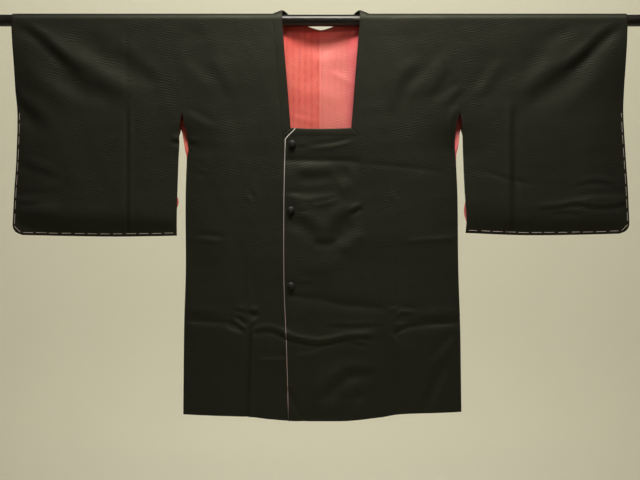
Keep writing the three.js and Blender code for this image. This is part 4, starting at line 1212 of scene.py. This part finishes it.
ROD_PLAIN = 20  # evenly spaced rings start this far from the ends
ROUND_SIDES = 96


def box_in_mm(node):
    """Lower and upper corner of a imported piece's box."""
    return (np.array(corner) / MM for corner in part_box(node))


def covered_button(name, material):
    """A covered dome on its short rim, a touch uneven where the cloth is gathered behind it."""
    low, high = box_in_mm(name)
    middle = (low + high) / 2
    radius, back, front = (high[0] - low[0]) / 2, high[1], low[1]
    shape = BUTTON_RIM + [(math.cos(a), lerp(DOME_START, 1, math.sin(a)))
                          for a in np.linspace(0.12, math.pi / 2 - 0.05, 10)]
    wave = GATHER_SIZE * np.sin(circle(40) * GATHERS)
    profile = [(lerp(back, front, up), radius * across * (1 + wave * max(0.0, 1 - up * GATHER_FADE)))
               for across, up in shape]
    return lathe(name, 1, profile, 40, material, middle * (1, 0, 1))


def basting_line(sign):
    """The basting's route over a sleeve, as (x, z) places, and its corner.

    The corner is cut across. It is given by its start's length along the route.
    """
    side = SIDES[sign]
    bottom = float(table_at(SLEEVE_BOTTOM[side], BOTTOM_READ_X)) + BASTING_INSET
    corner_z = bottom + BASTING_CORNER
    down = [(float(table_at(SLEEVE_EDGE[side], z)) - BASTING_INSET, z)
            for z in np.arange(CUFF_Z - BASTING_TOP, corner_z, -BASTING_STEP)]
    start_x = down[-1][0]
    end_x = start_x - BASTING_CORNER
    furi = float(table_at(FURI_EDGE[side], FURI_READ_Z)) + BASTING_INSET
    level = [(x, float(table_at(SLEEVE_BOTTOM[side], x)) + BASTING_INSET)
             for x in np.arange(end_x - BASTING_STEP, furi, -BASTING_STEP)]
    route = np.array(down + [(start_x, corner_z), (end_x, bottom)] + level)
    route[:, 0] *= sign
    lengths = np.concatenate([[0], np.cumsum(np.hypot(*np.diff(route, axis=0).T))])
    return route, lengths, lengths[len(down)]


def basting(sign, thread):
    """Running stitches round the sleeve's sewn edge: long on the front and short on the back."""
    route, lengths, corner = basting_line(sign)
    end = lengths[-1]
    across_corner = BASTING_CORNER * math.sqrt(2)
    period = STITCH + STITCH_GAP
    starts = [*np.arange(corner - period, STITCH_SHORTEST - STITCH, -period), corner,
              *np.arange(corner + across_corner + STITCH_GAP, end - STITCH_SHORTEST, period)]
    arch = THREAD_ARCH * np.sin(np.linspace(0, math.pi, 9)) ** 0.5
    rise = SILK / 2 + THREAD_HEIGHT * (arch - THREAD_SUNK)
    strands = []
    rng = np.random.default_rng(WAVE_SEED + sign)
    for start in starts:
        length = across_corner if start == corner else STITCH + rng.uniform(*STITCH_UNEVEN)
        stop = start + min(length, end - BASTING_STEP - start)
        behind = stop + STITCH_THROUGH, stop + STITCH_GAP - STITCH_THROUGH
        for facing, places in ((-1, (max(start, 0.0), stop)), (1, behind)):
            s = np.linspace(*places, 9)
            x = np.interp(s, lengths, route[:, 0])
            z = np.interp(s, lengths, route[:, 1]) + rng.uniform(-STITCH_WANDER, STITCH_WANDER)
            path = drape(x, facing * cloth_at(z), sleeve_depth, rise)
            strands.append(sweep(path, facing, THREAD_WIDTH, THREAD_HEIGHT, 7))
    return mesh_object(f"basting_{SIDES[sign]}", *joined(strands), [thread])


def rod(paint):
    """The round rod, with slightly rounded ends."""
    low, high = box_in_mm("rod")
    radius = (high[2] - low[2]) / 2
    plain = np.linspace(low[0] + ROD_PLAIN, high[0] - ROD_PLAIN, 40)
    profile = [(low[0] + along, radius * share) for along, share in ROD_END]
    profile += [(x, radius) for x in plain]
    profile += [(high[0] - along, radius * share) for along, share in ROD_END[::-1]]
    return lathe("round_rod", 0, profile, ROUND_SIDES, paint)


# ------------ stage, light and camera
VIEW_DISTANCE = 2.4  # from the camera to the fronts, in metres
VIEW_WIDTH = 1.3504  # width of the picture at the fronts, in metres
VIEW_CENTRE = (-0.002, -0.4657)  # x and z of the picture's middle
SENSOR = 36.0
FLOOR_Z = -1.38
SWEEP_HOLE = 0.02  # radius of the first ring, which is closed by one face
SWEEP_FLAT, SWEEP_RADIUS, SWEEP_TOP = 3.2, 3.0, 3.4
# name, place and aim in metres, size, power in watts and spread in degrees
LIGHTS = [
    ("key", (0.1, -1.05, 1.8), (0.05, 0, -0.04), (1.0, 0.45), 14.3, 72),
    ("neck", (0.3, -1.56, 0.9), (0.01, 0, -0.01), (0.3, 0.12), 0.045, 12),
    ("wall", (0, 3.4, 3.0), (0, 6.2, 2.1), (4.0, 0.8), 98),
    ("floor", (0, 2.7, 1.1), (0, 2.7, -1), (3.4, 1.0), 25),
    ("back", (-0.5, 1.8, -0.45), (0, 0, -0.45), (0.9, 0.5), 4.5, 75),
    ("far wall", (0, -3.4, 3.0), (0, -6.2, 2.1), (4.0, 0.8), 8),
]
LIGHT_COLOUR = (1, 0.985, 0.95)
WORLD_COLOUR, WORLD_STRENGTH = (1.0, 0.98, 0.93, 1), 0.05


def sweep_stage():
    """A plain pale floor that turns up into a wall all round, with no edge in sight."""
    turn = [(SWEEP_RADIUS * (1 - math.cos(a)), SWEEP_FLAT + SWEEP_RADIUS * math.sin(a))
            for a in np.linspace(0, math.pi / 2, 14)[1:]]
    rows = [(0.0, SWEEP_HOLE), (0.0, SWEEP_FLAT), *turn,
            (SWEEP_RADIUS + SWEEP_TOP, SWEEP_FLAT + SWEEP_RADIUS)]
    profile = [((FLOOR_Z + up) / MM, radius / MM) for up, radius in rows]
    lathe("floor", 2, profile, ROUND_SIDES, stage_finish(), inward=True)


def area_light(name, place, aim, size, power, spread=180):
    light = bpy.data.lights.new(name, "AREA")
    light.shape = "RECTANGLE"
    light.size, light.size_y = size
    light.energy, light.color = power, LIGHT_COLOUR
    light.spread = math.radians(spread)
    lamp = bpy.data.objects.new(name, light)
    lamp.location = place
    lamp.rotation_euler = (Vector(aim) - Vector(place)).to_track_quat("-Z", "Y").to_euler()
    lamp.visible_camera = False
    bpy.context.collection.objects.link(lamp)


def lights():
    for row in LIGHTS:
        area_light(*row)
    world = bpy.context.scene.world or bpy.data.worlds.new("World")
    bpy.context.scene.world = world
    world.use_nodes = True
    background = world.node_tree.nodes["Background"]
    background.inputs["Color"].default_value = WORLD_COLOUR
    background.inputs["Strength"].default_value = WORLD_STRENGTH


def camera():
    data = bpy.data.cameras.new("camera")
    data.sensor_width = SENSOR
    data.lens = SENSOR * VIEW_DISTANCE / VIEW_WIDTH
    view = bpy.data.objects.new("camera", data)
    view.location = (VIEW_CENTRE[0], -VIEW_DISTANCE - DEPTH["front"] * MM, VIEW_CENTRE[1])
    view.rotation_euler = (math.pi / 2, 0, 0)
    bpy.context.collection.objects.link(view)
    bpy.context.scene.camera = view


# ------------ assembly
def own(piece, node=None):
    """The piece rides on the coat and stands for this node."""
    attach(piece, "root")
    if node:
        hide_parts(node)
    return piece


def sewn(piece, slot, node, **facts):
    """A piece that stands for this node; the facts of its cloth are not used."""
    own(piece, node)


def build():
    silk, lining, piping = silk_finish(), lining_finish(), piping_finish()
    thread, covered = thread_finish(), button_finish()
    own(rod(rod_finish()), "rod")
    for sign, side in SIDES.items():
        sewn(body_panel(sign, silk, lining), "black_silk", f"body_{side}",
             flat=(0.29, 1.74), held="hung", rests_on=["round_rod"], area=0.43)
        sleeve = own(sleeve_panel(sign, silk, lining), f"sleeve_{side}")
        stitches = own(basting(sign, thread))
        sewn(back_lining(sign, lining), "coral_lining", f"lining_back_{side}",
             flat=(0.29, 0.80), held="hung", area=0.229, rests_on=[f"body_{side}"])
        sewn(sleeve_lining(sign, lining), "coral_lining", f"lining_sleeve_{side}",
             flat=(0.345, 0.44), held="hung", area=0.146, rests_on=[f"sleeve_{side}"])
    sewn(neckband(silk), "black_silk", "neckband",
         flat=(0.02, 0.76), held="folded", rests_on=["round_rod"])
    edging = own(edge_piping(piping), "edge_piping")
    buttons = [own(covered_button(name, covered), name)
               for name in ("button_1", "button_2", "button_3")]
    sewn(overlap_panel("overlap_left", top_edge, front_seam, top_layer, silk, "outer"),
         "black_silk", "overlap_left", flat=(0.158, 0.60), held="hung", area=0.0914,
         rests_on=["overlap_right"], with_pieces=[edging, *buttons])
    sewn(overlap_panel("overlap_right", under_seam, under_edge, under_layer, silk, "inner"),
         "black_silk", "overlap_right", flat=(0.158, 0.60), held="hung", area=0.0914,
         rests_on=["body_right"])
    sewn(band_stretch("neckband_front_left", top_edge, mitre, top_layer, silk),
         "black_silk", "neckband_front_left",
         flat=(0.0165, 0.148), held="folded", rests_on=["overlap_left"])
    sewn(band_stretch("neckband_front_right", under_mitre, under_band_end, under_layer, silk),
         "black_silk", "neckband_front_right",
         flat=(0.0165, 0.148), held="folded", rests_on=["overlap_right"])


build()
sweep_stage()
lights()
camera()
bpy.context.scene.view_settings.view_transform = "Standard"
